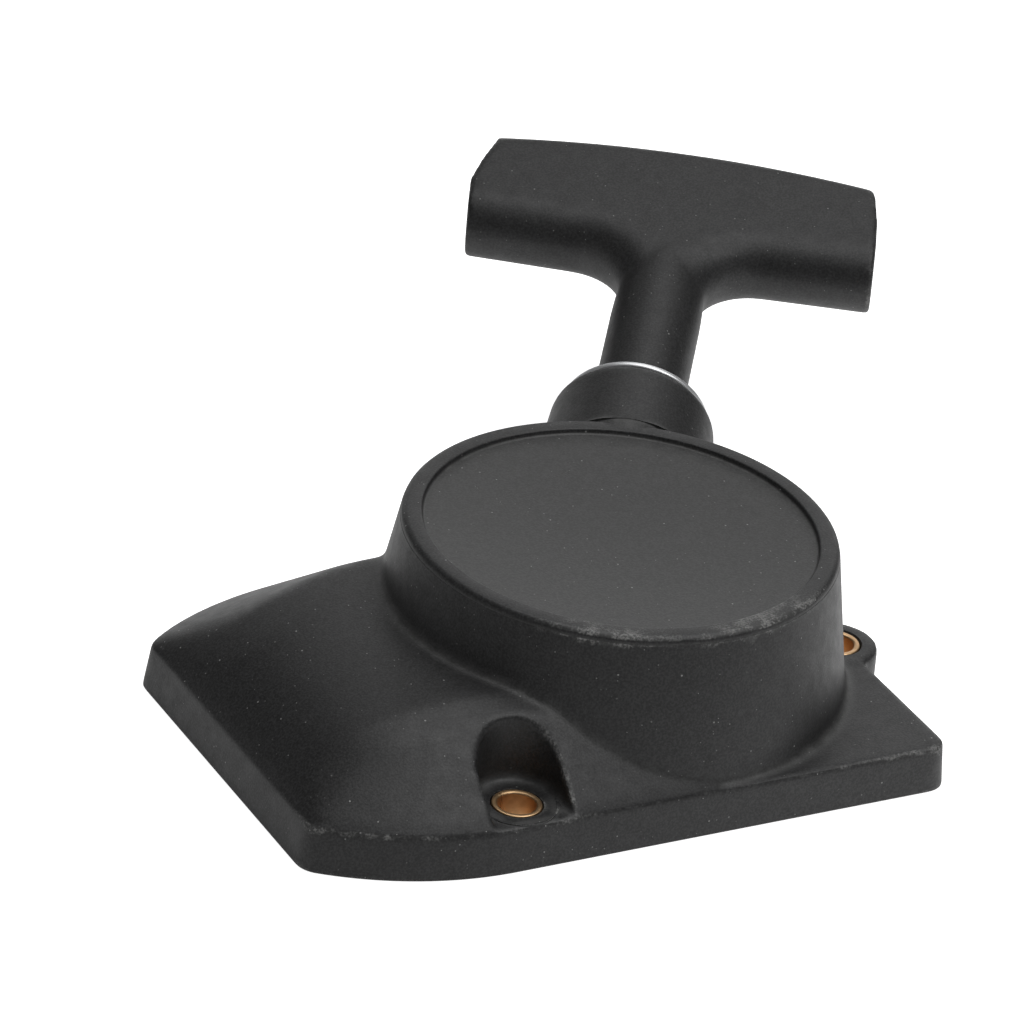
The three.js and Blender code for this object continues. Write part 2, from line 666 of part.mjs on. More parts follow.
[0, 180].forEach((turn, i) => {
  const station = new THREE.Group();
  station.rotation.z = degrees(turn);
  const lever = named(`pawl_${i + 1}`, pawl(), 'zincSteel');
  const pin = named(`pawl_pin_${i + 1}`, disc(PAWL.pin, PAWL.low, PIN.high), 'brightSteel');
  lever.position.x = PAWL.pivot;
  pin.position.x = PAWL.pivot;
  station.add(lever, pin);
  starter.add(station);
});

const pullGroup = new THREE.Group();
pullFrame.decompose(pullGroup.position, pullGroup.quaternion, pullGroup.scale);
pullGroup.add(named('rope_guide_eyelet', eyelet(), 'brightSteel'));
pullGroup.add(named('handle_grip', grip(), 'gripNylon'));
pullGroup.add(named('handle_cap', gripCap(), 'gripNylon'));
pullGroup.add(named('knot_plate', knotPlate(), 'zincSteel'));
pullGroup.add(named('handle_knot', knot(GRIP.ropeEnd + 4), 'rope'));
pullGroup.add(named('handle_rope', disc(ROPE.radius, 0.4, GRIP.ropeEnd + 0.4), 'rope'));
starter.add(pullGroup);

export default starter;
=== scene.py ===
"""Recoil starter of a small two-stroke engine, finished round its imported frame.

Shapes are worked in millimetres and scaled to metres when a piece is finished. The origin is
on the crankshaft axis, in the mounting face, with +Z up through the drum.
"""

import json
import math

import bmesh
import bpy
import numpy as np
from bpy.props import FloatProperty, FloatVectorProperty, IntProperty, PointerProperty
from mathutils import Matrix, Vector


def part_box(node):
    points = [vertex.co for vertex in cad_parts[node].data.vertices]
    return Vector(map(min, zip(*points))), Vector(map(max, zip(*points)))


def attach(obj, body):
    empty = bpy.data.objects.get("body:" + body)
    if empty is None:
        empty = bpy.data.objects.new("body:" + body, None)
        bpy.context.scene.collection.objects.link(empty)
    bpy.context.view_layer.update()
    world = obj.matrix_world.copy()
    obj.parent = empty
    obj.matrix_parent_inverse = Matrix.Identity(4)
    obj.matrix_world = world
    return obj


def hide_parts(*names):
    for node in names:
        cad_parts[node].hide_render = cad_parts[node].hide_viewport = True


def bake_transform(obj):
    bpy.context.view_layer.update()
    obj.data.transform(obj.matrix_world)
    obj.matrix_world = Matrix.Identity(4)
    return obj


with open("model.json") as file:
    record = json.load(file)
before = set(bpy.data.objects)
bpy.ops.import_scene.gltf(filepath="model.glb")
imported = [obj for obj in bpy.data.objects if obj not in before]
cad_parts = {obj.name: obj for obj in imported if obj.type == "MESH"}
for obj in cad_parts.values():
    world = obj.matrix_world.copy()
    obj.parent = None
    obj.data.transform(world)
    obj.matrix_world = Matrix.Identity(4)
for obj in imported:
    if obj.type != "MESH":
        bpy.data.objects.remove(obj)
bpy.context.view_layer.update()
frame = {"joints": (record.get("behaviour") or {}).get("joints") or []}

bl_info = {
    "name": "Recoil Starter",
    "version": (1, 0, 0),
    "blender": (4, 5, 0),
    "location": "3D Viewport > Sidebar > Starter",
    "description": "Builds a recoil starter: moulded housing, T-handle, rope and pull mechanism",
    "category": "Add Mesh",
}

MM = 0.001
ROUND = 128                       # steps round a large turned shape
SMALL = 48                        # and round a small one
FULL_BEND = 0.08                  # bend of the surface that counts as a full edge
EVERYDAY_WEAR = 0.3               # rubbing away from the worn spots

# Plan shape of the housing, in millimetres, as the frame's solid has it.
MIDLINE = -1.2
FLANGE_LEFT = -73.5
FLANGE_RIGHT = 45.1
FLANGE_FRONT = -44.2
HIP_X = -39.5
HIP_RADIUS = 55.0
CORNER = 4.5
TAPER = 0.9
BELOW = 6.0                       # depth of working shapes under the mounting face
FAR_ABOVE = 60.0
EYELET_DEPTH = 16.0
ROPE_MIDDLE = 27.4                # middle of the handle's rope, from the eyelet's face
KNOT_ROOM = 52.0                  # floor of the grip's knot room, from the eyelet's face
BAR_BLANK = 50                    # half length of the T-bar before its ends are trimmed
BAR_LEAN = 1.2                    # tilt of the T-bar round the rope, in degrees
LUG_SEAT = 5.6                    # radius of the flat on the right lug

# The mechanism, in millimetres and degrees.
PIVOT_OUT = 16.0                  # pawl pivots, from the crankshaft axis
NOSE_OUT = 19.4                   # the pawls' noses at rest, from the same axis
PAWL_SWING = 35
GUIDE_TURN = 40
OPPOSITE = (0, math.pi)
WEB_HOLES = 12


# --- places from the frame

def middle(node):
    """Centre of a node's box, in millimetres."""
    low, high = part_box(node)
    return (low + high) / (2 * MM)


def size_of(node):
    low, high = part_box(node)
    return (high - low) / MM


def pull_matrix():
    """Z is the way the rope is pulled, X lies level along the T-bar, Y points up."""
    joint = next(j for j in frame["joints"] if j["name"] == "handle_pull")
    out = Vector(joint["axis"]).normalized()
    along = Vector((0, 0, 1)).cross(out).normalized()
    up = out.cross(along)
    place = middle("handle_rope") - out * ROPE_MIDDLE
    turn = Matrix((along, up, out)).transposed().to_4x4()
    return Matrix.Translation(place) @ turn


def screw_places():
    return {side: middle(f"screw_bush_{side}") for side in ("front", "right", "back")}


# --- shaping helpers

def moved(x, y=0, z=0):
    return Matrix.Translation((x, y, z))


def turned(angle, axis="Z"):
    return Matrix.Rotation(angle, 4, axis)


def degrees(angle, axis="Z"):
    return turned(math.radians(angle), axis)


def on_circle(radius, angle):
    return radius * math.cos(angle), radius * math.sin(angle)


def verts_of(made):
    return [g for g in made["geom"] if isinstance(g, bmesh.types.BMVert)]


def spun(profile, segments=ROUND, place=None):
    """Turns a closed (radius, height, rounding) profile about Z."""
    bm = bmesh.new()
    verts = [bm.verts.new((point[0], 0, point[1])) for point in profile]
    for a, b in zip(verts, verts[1:] + verts[:1]):
        bm.edges.new((a, b))
    for vert, point in zip(verts, profile):
        if len(point) > 2:
            bmesh.ops.bevel(
                bm, geom=[vert, *vert.link_edges], offset=point[2], segments=4, profile=0.5,
                affect="VERTICES", material=-1,
            )
    on_axis = [e for e in bm.edges if all(abs(v.co.x) < 1e-6 for v in e.verts)]
    bmesh.ops.delete(bm, geom=on_axis, context="EDGES")
    bmesh.ops.spin(
        bm, geom=bm.verts[:] + bm.edges[:], cent=(0, 0, 0), axis=(0, 0, 1), dvec=(0, 0, 0),
        angle=math.tau, steps=segments, use_merge=True, use_duplicate=False,
    )
    bmesh.ops.remove_doubles(bm, verts=bm.verts, dist=1e-4)
    bmesh.ops.recalc_face_normals(bm, faces=bm.faces)
    if place:
        bm.transform(place)
    return bm


def disc(radius, low, high, place=None, segments=SMALL):
    return spun([(0, low), (radius, low), (radius, high), (0, high)], segments, place)


def tube(inner, outer, low, high, segments=ROUND, edge=0.15):
    return spun([
        (inner, low, edge), (outer, low, edge), (outer, high, edge), (inner, high, edge),
    ], segments)


def plate(outline, low, high):
    """A prism from a plan outline."""
    bm = bmesh.new()
    face = bm.faces.new([bm.verts.new((x, y, low)) for x, y in outline])
    made = bmesh.ops.extrude_face_region(bm, geom=[face])
    bmesh.ops.translate(bm, vec=(0, 0, high - low), verts=verts_of(made))
    bmesh.ops.recalc_face_normals(bm, faces=bm.faces)
    return bm


def block(x0, x1, y0, y1, z0, z1, place=None):
    bm = bmesh.new()
    bmesh.ops.create_cube(bm, size=1)
    bmesh.ops.scale(bm, vec=(x1 - x0, y1 - y0, z1 - z0), verts=bm.verts)
    bmesh.ops.translate(
        bm, vec=((x0 + x1) / 2, (y0 + y1) / 2, (z0 + z1) / 2), verts=bm.verts,
    )
    if place:
        bm.transform(place)
    return bm


def hull(points):
    bm = bmesh.new()
    for point in points:
        bm.verts.new(point)
    made = bmesh.ops.convex_hull(bm, input=bm.verts)
    loose = {g for g in made["geom_interior"] + made["geom_unused"]}
    bmesh.ops.delete(
        bm, geom=[g for g in loose if isinstance(g, bmesh.types.BMVert)], context="VERTS",
    )
    bmesh.ops.recalc_face_normals(bm, faces=bm.faces)
    return bm


def rounded(bm, edges, width, segments):
    bmesh.ops.bevel(
        bm, geom=edges, offset=width, segments=segments, profile=0.5, affect="EDGES",
        clamp_overlap=True, material=-1,
    )
    return bm


def soften(bm, width, angle=40):
    """Rounds the edges that turn by more than an angle."""
    return rounded(bm, [
        e for e in bm.edges
        if len(e.link_faces) == 2 and e.calc_face_angle() > math.radians(angle)
    ], width, 2)


def linked(name, data):
    """A new object in the scene."""
    obj = bpy.data.objects.new(name, data)
    bpy.context.scene.collection.objects.link(obj)
    return obj


def as_mesh(bm, name):
    mesh = bpy.data.meshes.new(name)
    bm.to_mesh(mesh)
    bm.free()
    return mesh


def blank(bm):
    """A working object that is shaped by modifiers and removed afterwards."""
    return linked("blank", as_mesh(bm, "blank"))


def result_of(obj):
    depsgraph = bpy.context.evaluated_depsgraph_get()
    return bpy.data.meshes.new_from_object(obj.evaluated_get(depsgraph))


def worked(obj, kind, **settings):
    """Adds one modifier to a working object and keeps its result."""
    modifier = obj.modifiers.new(kind, kind)
    for key, value in settings.items():
        setattr(modifier, key, value)
    mesh = result_of(obj)
    obj.modifiers.clear()
    old = obj.data
    obj.data = mesh
    bpy.data.meshes.remove(old)
    return obj


def drop(obj):
    mesh = obj.data
    bpy.data.objects.remove(obj)
    bpy.data.meshes.remove(mesh)


def combined(obj, tools, operation):
    for tool in tools:
        other = tool if isinstance(tool, bpy.types.Object) else blank(tool)
        worked(obj, "BOOLEAN", object=other, operation=operation, solver="MANIFOLD")
        drop(other)
    return obj


def joined(obj, *tools):
    return combined(obj, tools, "UNION")


def cut(obj, *tools):
    return combined(obj, tools, "DIFFERENCE")


def kept(obj, *tools):
    return combined(obj, tools, "INTERSECT")


def moulded(obj, voxel, passes, share=1.0):
    """Melts sharp joints into the soft radii of a moulding."""
    worked(obj, "REMESH", mode="VOXEL", voxel_size=voxel)
    worked(obj, "SMOOTH", factor=0.5, iterations=passes)
    if share < 1:
        worked(obj, "DECIMATE", ratio=share)
    return obj


def taken(obj):
    bm = bmesh.new()
    bm.from_mesh(obj.data)
    drop(obj)
    return bm


def arc(cx, cy, radius, start, end, steps):
    """Points on an arc, angles in degrees, both ends included."""
    turn = [math.radians(start + (end - start) * i / steps) for i in range(steps + 1)]
    return [(cx + radius * math.cos(a), cy + radius * math.sin(a)) for a in turn]


def rows(items, name, width, kind=float):
    """One value of every item, as rows of numbers."""
    held = np.empty(len(items) * width, kind)
    items.foreach_get(name, held)
    return held.reshape(-1, width)


def mark_edges(mesh, spots):
    """Stores how exposed each vertex is to rubbing, and how deep it sits in a corner."""
    count = len(mesh.vertices)
    co = rows(mesh.vertices, "co", 3)
    normal = rows(mesh.vertex_normals, "vector", 3)
    ends = rows(mesh.edges, "vertices", 2, int)
    line = co[ends[:, 1]] - co[ends[:, 0]]
    length = np.maximum(np.linalg.norm(line, axis=1), 1e-7)
    bend = np.zeros(count)
    total = np.zeros(count)
    for side, sign in ((0, -1), (1, 1)):
        value = sign * np.einsum("ij,ij->i", line, normal[ends[:, side]]) / length
        np.add.at(bend, ends[:, side], value)
        np.add.at(total, ends[:, side], 1)
    bend /= np.maximum(total, 1)
    for _ in range(2):
        spread = np.zeros(count)
        for a, b in ((0, 1), (1, 0)):
            np.add.at(spread, ends[:, a], bend[ends[:, b]])
        bend = 0.5 * bend + 0.5 * spread / np.maximum(total, 1)
    bend /= FULL_BEND
    near = np.full(count, EVERYDAY_WEAR)
    for x, y, z, reach in spots:
        gap = np.linalg.norm(co - np.array((x, y, z)) * MM, axis=1) / (reach * MM)
        near = np.maximum(near, np.exp(-gap * gap))
    wear = np.clip(bend, 0, 1) * near
    for name, value in (("edge_wear", wear), ("crease", np.clip(-bend, 0, 1))):
        held = mesh.attributes.new(name, "FLOAT", "POINT")
        held.data.foreach_set("value", value.astype(np.float32))


def finished(bm, name, body, nodes, material, sharp=35, spots=()):
    """Makes the final piece: metres, closed, faces outwards, riding on its body."""
    bmesh.ops.remove_doubles(bm, verts=bm.verts, dist=1e-4)
    bmesh.ops.recalc_face_normals(bm, faces=bm.faces)
    bmesh.ops.scale(bm, vec=(MM, MM, MM), verts=bm.verts)
    mesh = as_mesh(bm, name)
    mesh.shade_smooth()
    mesh.set_sharp_from_angle(angle=math.radians(sharp))
    mark_edges(mesh, spots)
    mesh.materials.append(bpy.data.materials[material])
    piece = linked(name, mesh)
    if body:
        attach(piece, body)
    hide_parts(*nodes)
    return piece


# --- finish helpers

RESULTS = {"Colour": "Color", "Roughness": "Float", "Normal": "Vector"}


def add(tree, kind, links=None, **settings):
    """A shader node with its settings, and its inputs given as values or sockets."""
    node = tree.nodes.new("ShaderNode" + kind)
    for key, value in settings.items():
        setattr(node, key, value)
    for key, value in (links or {}).items():
        if isinstance(value, bpy.types.NodeSocket):
            tree.links.new(value, node.inputs[key])
        else:
            node.inputs[key].default_value = value
    return node


def maths(tree, operation, a, b=0.0, c=0.0, clamp=False):
    links = {0: a, 1: b, 2: c}
    return add(tree, "Math", links, operation=operation, use_clamp=clamp).outputs[0]


def noise(tree, place, scale, detail):
    links = {"Vector": place, "Scale": scale, "Detail": detail}
    return add(tree, "TexNoise", links).outputs["Fac"]


def stepped(tree, value, low, high):
    """Rises smoothly from 0 at low to 1 at high."""
    node = add(tree, "MapRange", {
        "Value": value, "From Min": low, "From Max": high,
    }, interpolation_type="SMOOTHSTEP")
    return node.outputs["Result"]


def blended(tree, share, a, b):
    """Colour a turning into colour b; the colour sockets of a Mix node are 6, 7 and 2."""
    return add(tree, "Mix", {0: share, 6: a, 7: b}, data_type="RGBA").outputs[2]


def new_group(name, inputs):
    """An empty finish group with named sockets, and its two end nodes."""
    tree = bpy.data.node_groups.new(name, "ShaderNodeTree")
    for label, (kind, default) in inputs.items():
        socket = tree.interface.new_socket(
            label, in_out="INPUT", socket_type=f"NodeSocket{kind}")
        socket.default_value = default
    for label, kind in RESULTS.items():
        tree.interface.new_socket(label, in_out="OUTPUT", socket_type=f"NodeSocket{kind}")
    return tree, tree.nodes.new("NodeGroupInput").outputs, tree.nodes.new("NodeGroupOutput")


def deliver(tree, out, colour, roughness, height, depth):
    """Joins a finish to the group's results; height times depth, in metres, is its relief."""
    bump = add(tree, "Bump", {"Height": height, "Distance": depth, "Strength": 1.0})
    for label, value in zip(RESULTS, (colour, roughness, bump.outputs[0])):
        tree.links.new(value, out.inputs[label])
    return tree


def moulded_group():
    """Moulded nylon: clouded tone, fine grain, light specks and rubbed edges."""
    tree, given, out = new_group("moulded_finish", {
        "Colour": ("Color", (0.02, 0.02, 0.02, 1)),
        "Worn": ("Color", (0.09, 0.09, 0.09, 1)),
        "Wear": ("Float", 0.6),
        "Specks": ("Float", 0.5),
        "Roughness": ("Float", 0.55),
        "Depth": ("Float", 0.00003),
    })
    place = add(tree, "TexCoord").outputs["Object"]
    cloud = noise(tree, place, 55, 3)
    fine = noise(tree, place, 2600, 3)
    patch = noise(tree, place, 420, 4)

    dots = add(tree, "TexVoronoi", {"Vector": place, "Scale": 1300})
    chance = add(tree, "SeparateColor", {0: dots.outputs["Color"]}).outputs
    small = maths(tree, "MULTIPLY", chance[1], 0.24)
    speck = stepped(tree, maths(tree, "SUBTRACT", small, dots.outputs["Distance"]), 0.0, 0.05)
    picked = stepped(tree, chance[0], 0.72, 1.1)
    speck = maths(tree, "MULTIPLY", speck, picked)
    speck = maths(tree, "MULTIPLY", speck, given["Specks"], clamp=True)

    edge = add(tree, "Attribute", attribute_name="edge_wear").outputs["Fac"]
    ragged = maths(tree, "MULTIPLY", edge, maths(tree, "ADD", patch, 0.45))
    ragged = stepped(tree, ragged, 0.28, 0.95)
    chips = stepped(tree, maths(tree, "MULTIPLY", fine, patch), 0.2, 0.4)
    ragged = maths(tree, "MULTIPLY", ragged, maths(tree, "ADD", chips, 0.25))
    ragged = maths(tree, "MULTIPLY", ragged, given["Wear"], clamp=True)

    tone = maths(tree, "MULTIPLY_ADD", cloud, 0.3, 0.85)
    grain = maths(tree, "MULTIPLY_ADD", stepped(tree, fine, 0.35, 0.68), 1.6, 0.4)
    tone = maths(tree, "MULTIPLY", tone, grain)
    base = add(tree, "VectorMath", {0: given["Colour"], "Scale": tone}, operation="SCALE")
    dust = add(tree, "Attribute", attribute_name="crease").outputs["Fac"]
    dust = maths(tree, "MULTIPLY", dust, maths(tree, "MULTIPLY", patch, 0.35))
    colour = blended(tree, dust, base.outputs[0], given["Worn"])
    colour = blended(tree, ragged, colour, given["Worn"])
    colour = blended(tree, speck, colour, (0.42, 0.42, 0.41, 1))

    rough = maths(tree, "SUBTRACT", patch, 0.5)
    rough = maths(tree, "MULTIPLY_ADD", rough, 0.22, given["Roughness"])
    rough = maths(tree, "ADD", rough, maths(tree, "MULTIPLY", ragged, 0.15))
    height = maths(tree, "ADD", fine, maths(tree, "MULTIPLY", speck, 0.8))
    return deliver(tree, out, colour, rough, height, given["Depth"])


def metal_group():
    """Turned or pressed metal: fine tool rings, tone drift and small scratches."""
    tree, given, out = new_group("metal_finish", {
        "Colour": ("Color", (0.6, 0.6, 0.6, 1)),
        "Dull": ("Color", (0.3, 0.3, 0.3, 1)),
        "Roughness": ("Float", 0.25),
        "Rings": ("Float", 0.000004),
    })
    place = add(tree, "TexCoord").outputs["Object"]
    drift = noise(tree, place, 260, 4)
    long = add(tree, "Mapping", {"Vector": place, "Scale": (1, 1, 9)}).outputs[0]
    lines = noise(tree, long, 900, 2)
    share = stepped(tree, drift, 0.45, 0.75)
    colour = blended(tree, share, given["Colour"], given["Dull"])
    rough = maths(tree, "SUBTRACT", drift, 0.5)
    rough = maths(tree, "MULTIPLY_ADD", rough, 0.4, given["Roughness"])
    return deliver(tree, out, colour, rough, lines, given["Rings"])


def braid_group():
    """Braided cord from the distance along it and the turn round it, both in diameters."""
    tree, given, out = new_group("braid_finish", {
        "Colour": ("Color", (0.6, 0.58, 0.52, 1)),
        "Fleck": ("Color", (0.06, 0.07, 0.1, 1)),
        "Along": ("Float", 0.0),
        "Around": ("Float", 0.0),
    })
    one = maths(tree, "ADD", given["Along"], given["Around"])
    two = maths(tree, "SUBTRACT", given["Along"], given["Around"])
    waves = [
        maths(tree, "ABSOLUTE", maths(tree, "SINE", maths(tree, "MULTIPLY", strand, 4)))
        for strand in (one, two)
    ]
    weave = maths(tree, "MULTIPLY", *waves)
    place = add(tree, "TexCoord").outputs["Object"]
    fuzz = noise(tree, place, 2600, 2)
    fleck = maths(tree, "SINE", maths(tree, "MULTIPLY", one, 0.5))
    share = stepped(tree, fleck, 0.9, 0.98)
    base = blended(tree, share, given["Colour"], given["Fleck"])
    # The colour is scaled down to 45% towards the gaps between strands: painted shade in the
    # crevices of the braid, on top of the real bump of the weave.
    shade = maths(tree, "MULTIPLY_ADD", weave, 0.55, 0.45)
    colour = add(tree, "VectorMath", {0: base, "Scale": shade}, operation="SCALE")
    rough = maths(tree, "MULTIPLY_ADD", fuzz, 0.2, 0.72)
    height = maths(tree, "ADD", weave, maths(tree, "MULTIPLY", fuzz, 0.3))
    return deliver(tree, out, colour.outputs[0], rough, height, 0.0002)


def material(name, group, values, metallic=0.0, specular=0.5, links=None):
    """A material whose shader takes colour, roughness and normal from a finish group."""
    made = bpy.data.materials.new(name)
    made.use_nodes = True
    tree = made.node_tree
    shader = tree.nodes["Principled BSDF"]
    shader.inputs["Metallic"].default_value = metallic
    shader.inputs["Specular IOR Level"].default_value = specular
    node = tree.nodes.new("ShaderNodeGroup")
    node.node_tree = group
    for key, value in values.items():
        node.inputs[key].default_value = value
    for key, make in (links or {}).items():
        tree.links.new(make(tree), node.inputs[key])
    for label, target in zip(RESULTS, ("Base Color", "Roughness", "Normal")):
        tree.links.new(node.outputs[label], shader.inputs[target])


# --- properties

def length(name, description, default, low=0.0, high=0.5):
    return FloatProperty(
        name=name, description=description, default=default, min=low, max=high,
        subtype="DISTANCE", unit="LENGTH", precision=5,
    )


def colour(name, description, default):
    return FloatVectorProperty(
        name=name, description=description, default=(*default, 1.0), size=4, subtype="COLOR",
        min=0.0, max=1.0,
    )


class HousingSettings(bpy.types.PropertyGroup):
    drum_top: length("Drum height", "Height of the drum's rim over the mounting face", 0.035)
    drum_radius: length("Drum radius", "Radius of the drum at its rim", 0.0375)
    drum_draft: FloatProperty(
        name="Drum draft", description="Growth of the drum's radius per unit of depth",
        default=0.165, min=0, max=1)
    recess_radius: length("Recess radius", "Radius of the sunk top of the drum", 0.034)
    recess_depth: length("Recess depth", "How far the top is sunk below its rim", 0.001)
    flange_height: length("Flange height", "Height of the skirt round the housing", 0.008)
    wall: length("Wall", "Thickness of the moulded wall", 0.0025)
    shoulder_rise: length("Shoulder rise", "Climb of the shoulder over the flange", 0.0144)
    shoulder_run: length("Shoulder run", "Distance over which the shoulder climbs", 0.0105)
    pocket_radius: length("Pocket radius", "Radius of the screw pockets", 0.0074)
    collar_radius: length("Collar radius", "Radius of the rope collar at its end", 0.01475)
    grain: length("Grain", "Finest step of the moulded surface", 0.0006, 0.0003, 0.003)


class GripSettings(bpy.types.PropertyGroup):
    left: length("Left arm", "Reach of the T-bar's left arm", 0.0383)
    right: length("Right arm", "Reach of the T-bar's right arm", 0.0377)
    thickness: length("Thickness", "Thickness of the T-bar", 0.0144)
    low: length("Bar underside", "Distance of the bar's underside from the eyelet", 0.0401)
    high: length("Bar top", "Distance of the bar's outer side from the eyelet", 0.0667)
    stem_radius: length("Stem radius", "Radius of the round stem", 0.00825)


class MechanismSettings(bpy.types.PropertyGroup):
    rope_radius: length("Rope radius", "Radius of the starter rope", 0.0015)
    rope_turns: IntProperty(
        name="Rope turns", description="Turns of rope on the reel", default=5, min=1, max=8)
    spring_turns: IntProperty(
        name="Spring turns", description="Turns of the flat spring", default=9, min=3, max=14)


class FinishSettings(bpy.types.PropertyGroup):
    housing: colour("Housing", "Moulded housing", (0.0115, 0.0115, 0.0118))
    grip: colour("Grip", "T-handle", (0.0105, 0.0105, 0.0108))
    reel: colour("Reel", "Rope pulley", (0.045, 0.046, 0.05))
    worn: colour("Worn nylon", "Rubbed edges of the nylon", (0.2, 0.2, 0.195))
    bronze: colour("Bronze", "Screw bushes", (0.68, 0.45, 0.25))
    bright: colour("Bright steel", "Eyelet, pins and centre screw", (0.72, 0.72, 0.73))
    zinc: colour("Zinc plate", "Pressed steel parts", (0.52, 0.53, 0.54))
    spring: colour("Spring steel", "Flat spring and friction spring", (0.2, 0.215, 0.25))
    rope: colour("Rope", "Braided rope", (0.62, 0.6, 0.54))


class StageSettings(bpy.types.PropertyGroup):
    lens: FloatProperty(
        name="Lens", description="Focal length of the camera, in millimetres",
        default=222.05, min=20, max=400)
    roll: FloatProperty(
        name="Roll", description="Camera roll", default=math.radians(7.07), subtype="ANGLE",
        unit="ROTATION")
    softbox: FloatProperty(
        name="Softbox", description="Power of the overhead softbox", default=6.7, min=0,
        subtype="POWER", unit="POWER")
    floor: colour("Floor", "Plain pale floor", (0.9, 0.9, 0.9))


# --- housing

def flange_corner(inward):
    """The arc between the hip and the left edge: radius, middle x and half width, slope."""
    radius = CORNER - inward / 2
    x = FLANGE_LEFT + inward + radius
    reach = HIP_RADIUS - inward - radius
    slope = math.asin((HIP_X - x) / reach)
    return radius, x, MIDLINE - FLANGE_FRONT - HIP_RADIUS + reach * math.cos(slope), slope


def half_width(x, inward):
    """Half the housing's width at x, measured from its mid-line."""
    half = MIDLINE - FLANGE_FRONT
    if x >= HIP_X:
        return half - inward
    radius, middle_x, middle_half, slope = flange_corner(inward)
    if x < middle_x - radius * math.sin(slope):
        return middle_half + math.sqrt(max(radius ** 2 - (middle_x - x) ** 2, 0))
    return half - HIP_RADIUS + math.sqrt((HIP_RADIUS - inward) ** 2 - (x - HIP_X) ** 2)


def flange_outline(inset):
    """Plan outline of the housing's skirt, drawn in by an inset."""
    radius, middle_x, _, slope = flange_corner(inset)
    last = middle_x - radius * math.sin(slope)
    columns = 24
    turn = 8
    places = [HIP_X + (last - HIP_X) * i / columns for i in range(columns + 1)]
    for i in range(1, turn + 1):
        angle = slope + (math.pi / 2 - slope) * i / turn
        places.append(middle_x - radius * math.sin(angle))
    side = [(x, half_width(x, inset)) for x in places]
    right = FLANGE_RIGHT - inset
    front = FLANGE_FRONT + inset
    back = [(x, MIDLINE + half) for x, half in side]
    nose = [(x, MIDLINE - half) for x, half in reversed(side)]
    bend = arc(right - CORNER, front + CORNER, CORNER, -90, 0, 8)
    return [(right, -7), (12, 25), (0, back[0][1]), *back, *nose, *bend]


def skirt(inset, low, high, taper=0.0):
    """The plate under the whole housing, its sides drawn in above the mounting face."""
    if not taper:
        return plate(flange_outline(inset), low, high)
    bm = plate(flange_outline(inset), low, 0)
    lid = max(bm.faces, key=lambda f: f.calc_center_median().z)
    bmesh.ops.inset_region(bm, faces=[lid], thickness=taper)
    bmesh.ops.translate(bm, vec=(0, 0, high), verts=lid.verts)
    bmesh.ops.recalc_face_normals(bm, faces=bm.faces)
    return bm


def shoulder(settings, inset):
    """The hump between the left edge and the drum: a flat strip with hips to the skirt."""
    base = settings.flange_height / MM - inset
    start = FLANGE_LEFT + TAPER + inset
    drawn_in = 0.7 * inset
    points = []
    columns = 40
    for i in range(columns + 1):
        x = start * (1 - (i / columns) ** 1.7)
        foot = half_width(x, TAPER + inset)
        climb = 1 - math.exp(-(x - start) / (settings.shoulder_run / MM))
        crest = base + settings.shoulder_rise / MM * climb
        for z in (base - 3, base):
            points += [(x, MIDLINE - foot, z), (x, MIDLINE + foot, z)]
        front = MIDLINE - 22.6 + 6 * (1 - climb) + drawn_in
        points.append((x, front, crest))
        points.append((x, front - 6 * climb, crest - 1.8 * climb))
        share = min((x - FLANGE_LEFT) / (HIP_X - FLANGE_LEFT), 1)
        back = MIDLINE + (18.5 + 5 * share) - drawn_in
        width = (2 + 20 * (1 - share)) * climb
        points.append((x, back - width, crest))
        points.append((x, back + climb, crest - 0.12 * width))
    return hull(points)


def pocket(place, outward, settings, floor):
    """A screw pocket: round at the screw and open to the flange's edge."""
    radius = settings.pocket_radius / MM
    top = settings.drum_top / MM
    half = arc(place.x, place.y, radius, 0, 180, 24)
    if outward > 0:
        half = arc(place.x, place.y, radius, 180, 360, 24)
    ends = [(half[-1][0], place.y + outward), (half[0][0], place.y + outward)]
    return plate(half + ends, floor, top)


def drum_head(settings):
    """What is cut away over the drum: it leaves the rounded rim and the sunk top."""
    top = settings.drum_top / MM
    radius = settings.drum_radius / MM
    recess = settings.recess_radius / MM
    floor = top - settings.recess_depth / MM
    edge = 1.0
    wall = radius + settings.drum_draft * edge
    return spun([
        (0, floor), (recess - 0.12, floor, 0.35), (recess + 0.1, top, 0.3),
        (radius - 0.06, top, 0.95), (wall, top - edge - 0.4), (wall + 0.08, top - edge - 0.4),
        (wall + 0.08, FAR_ABOVE), (0, FAR_ABOVE),
    ], 256)


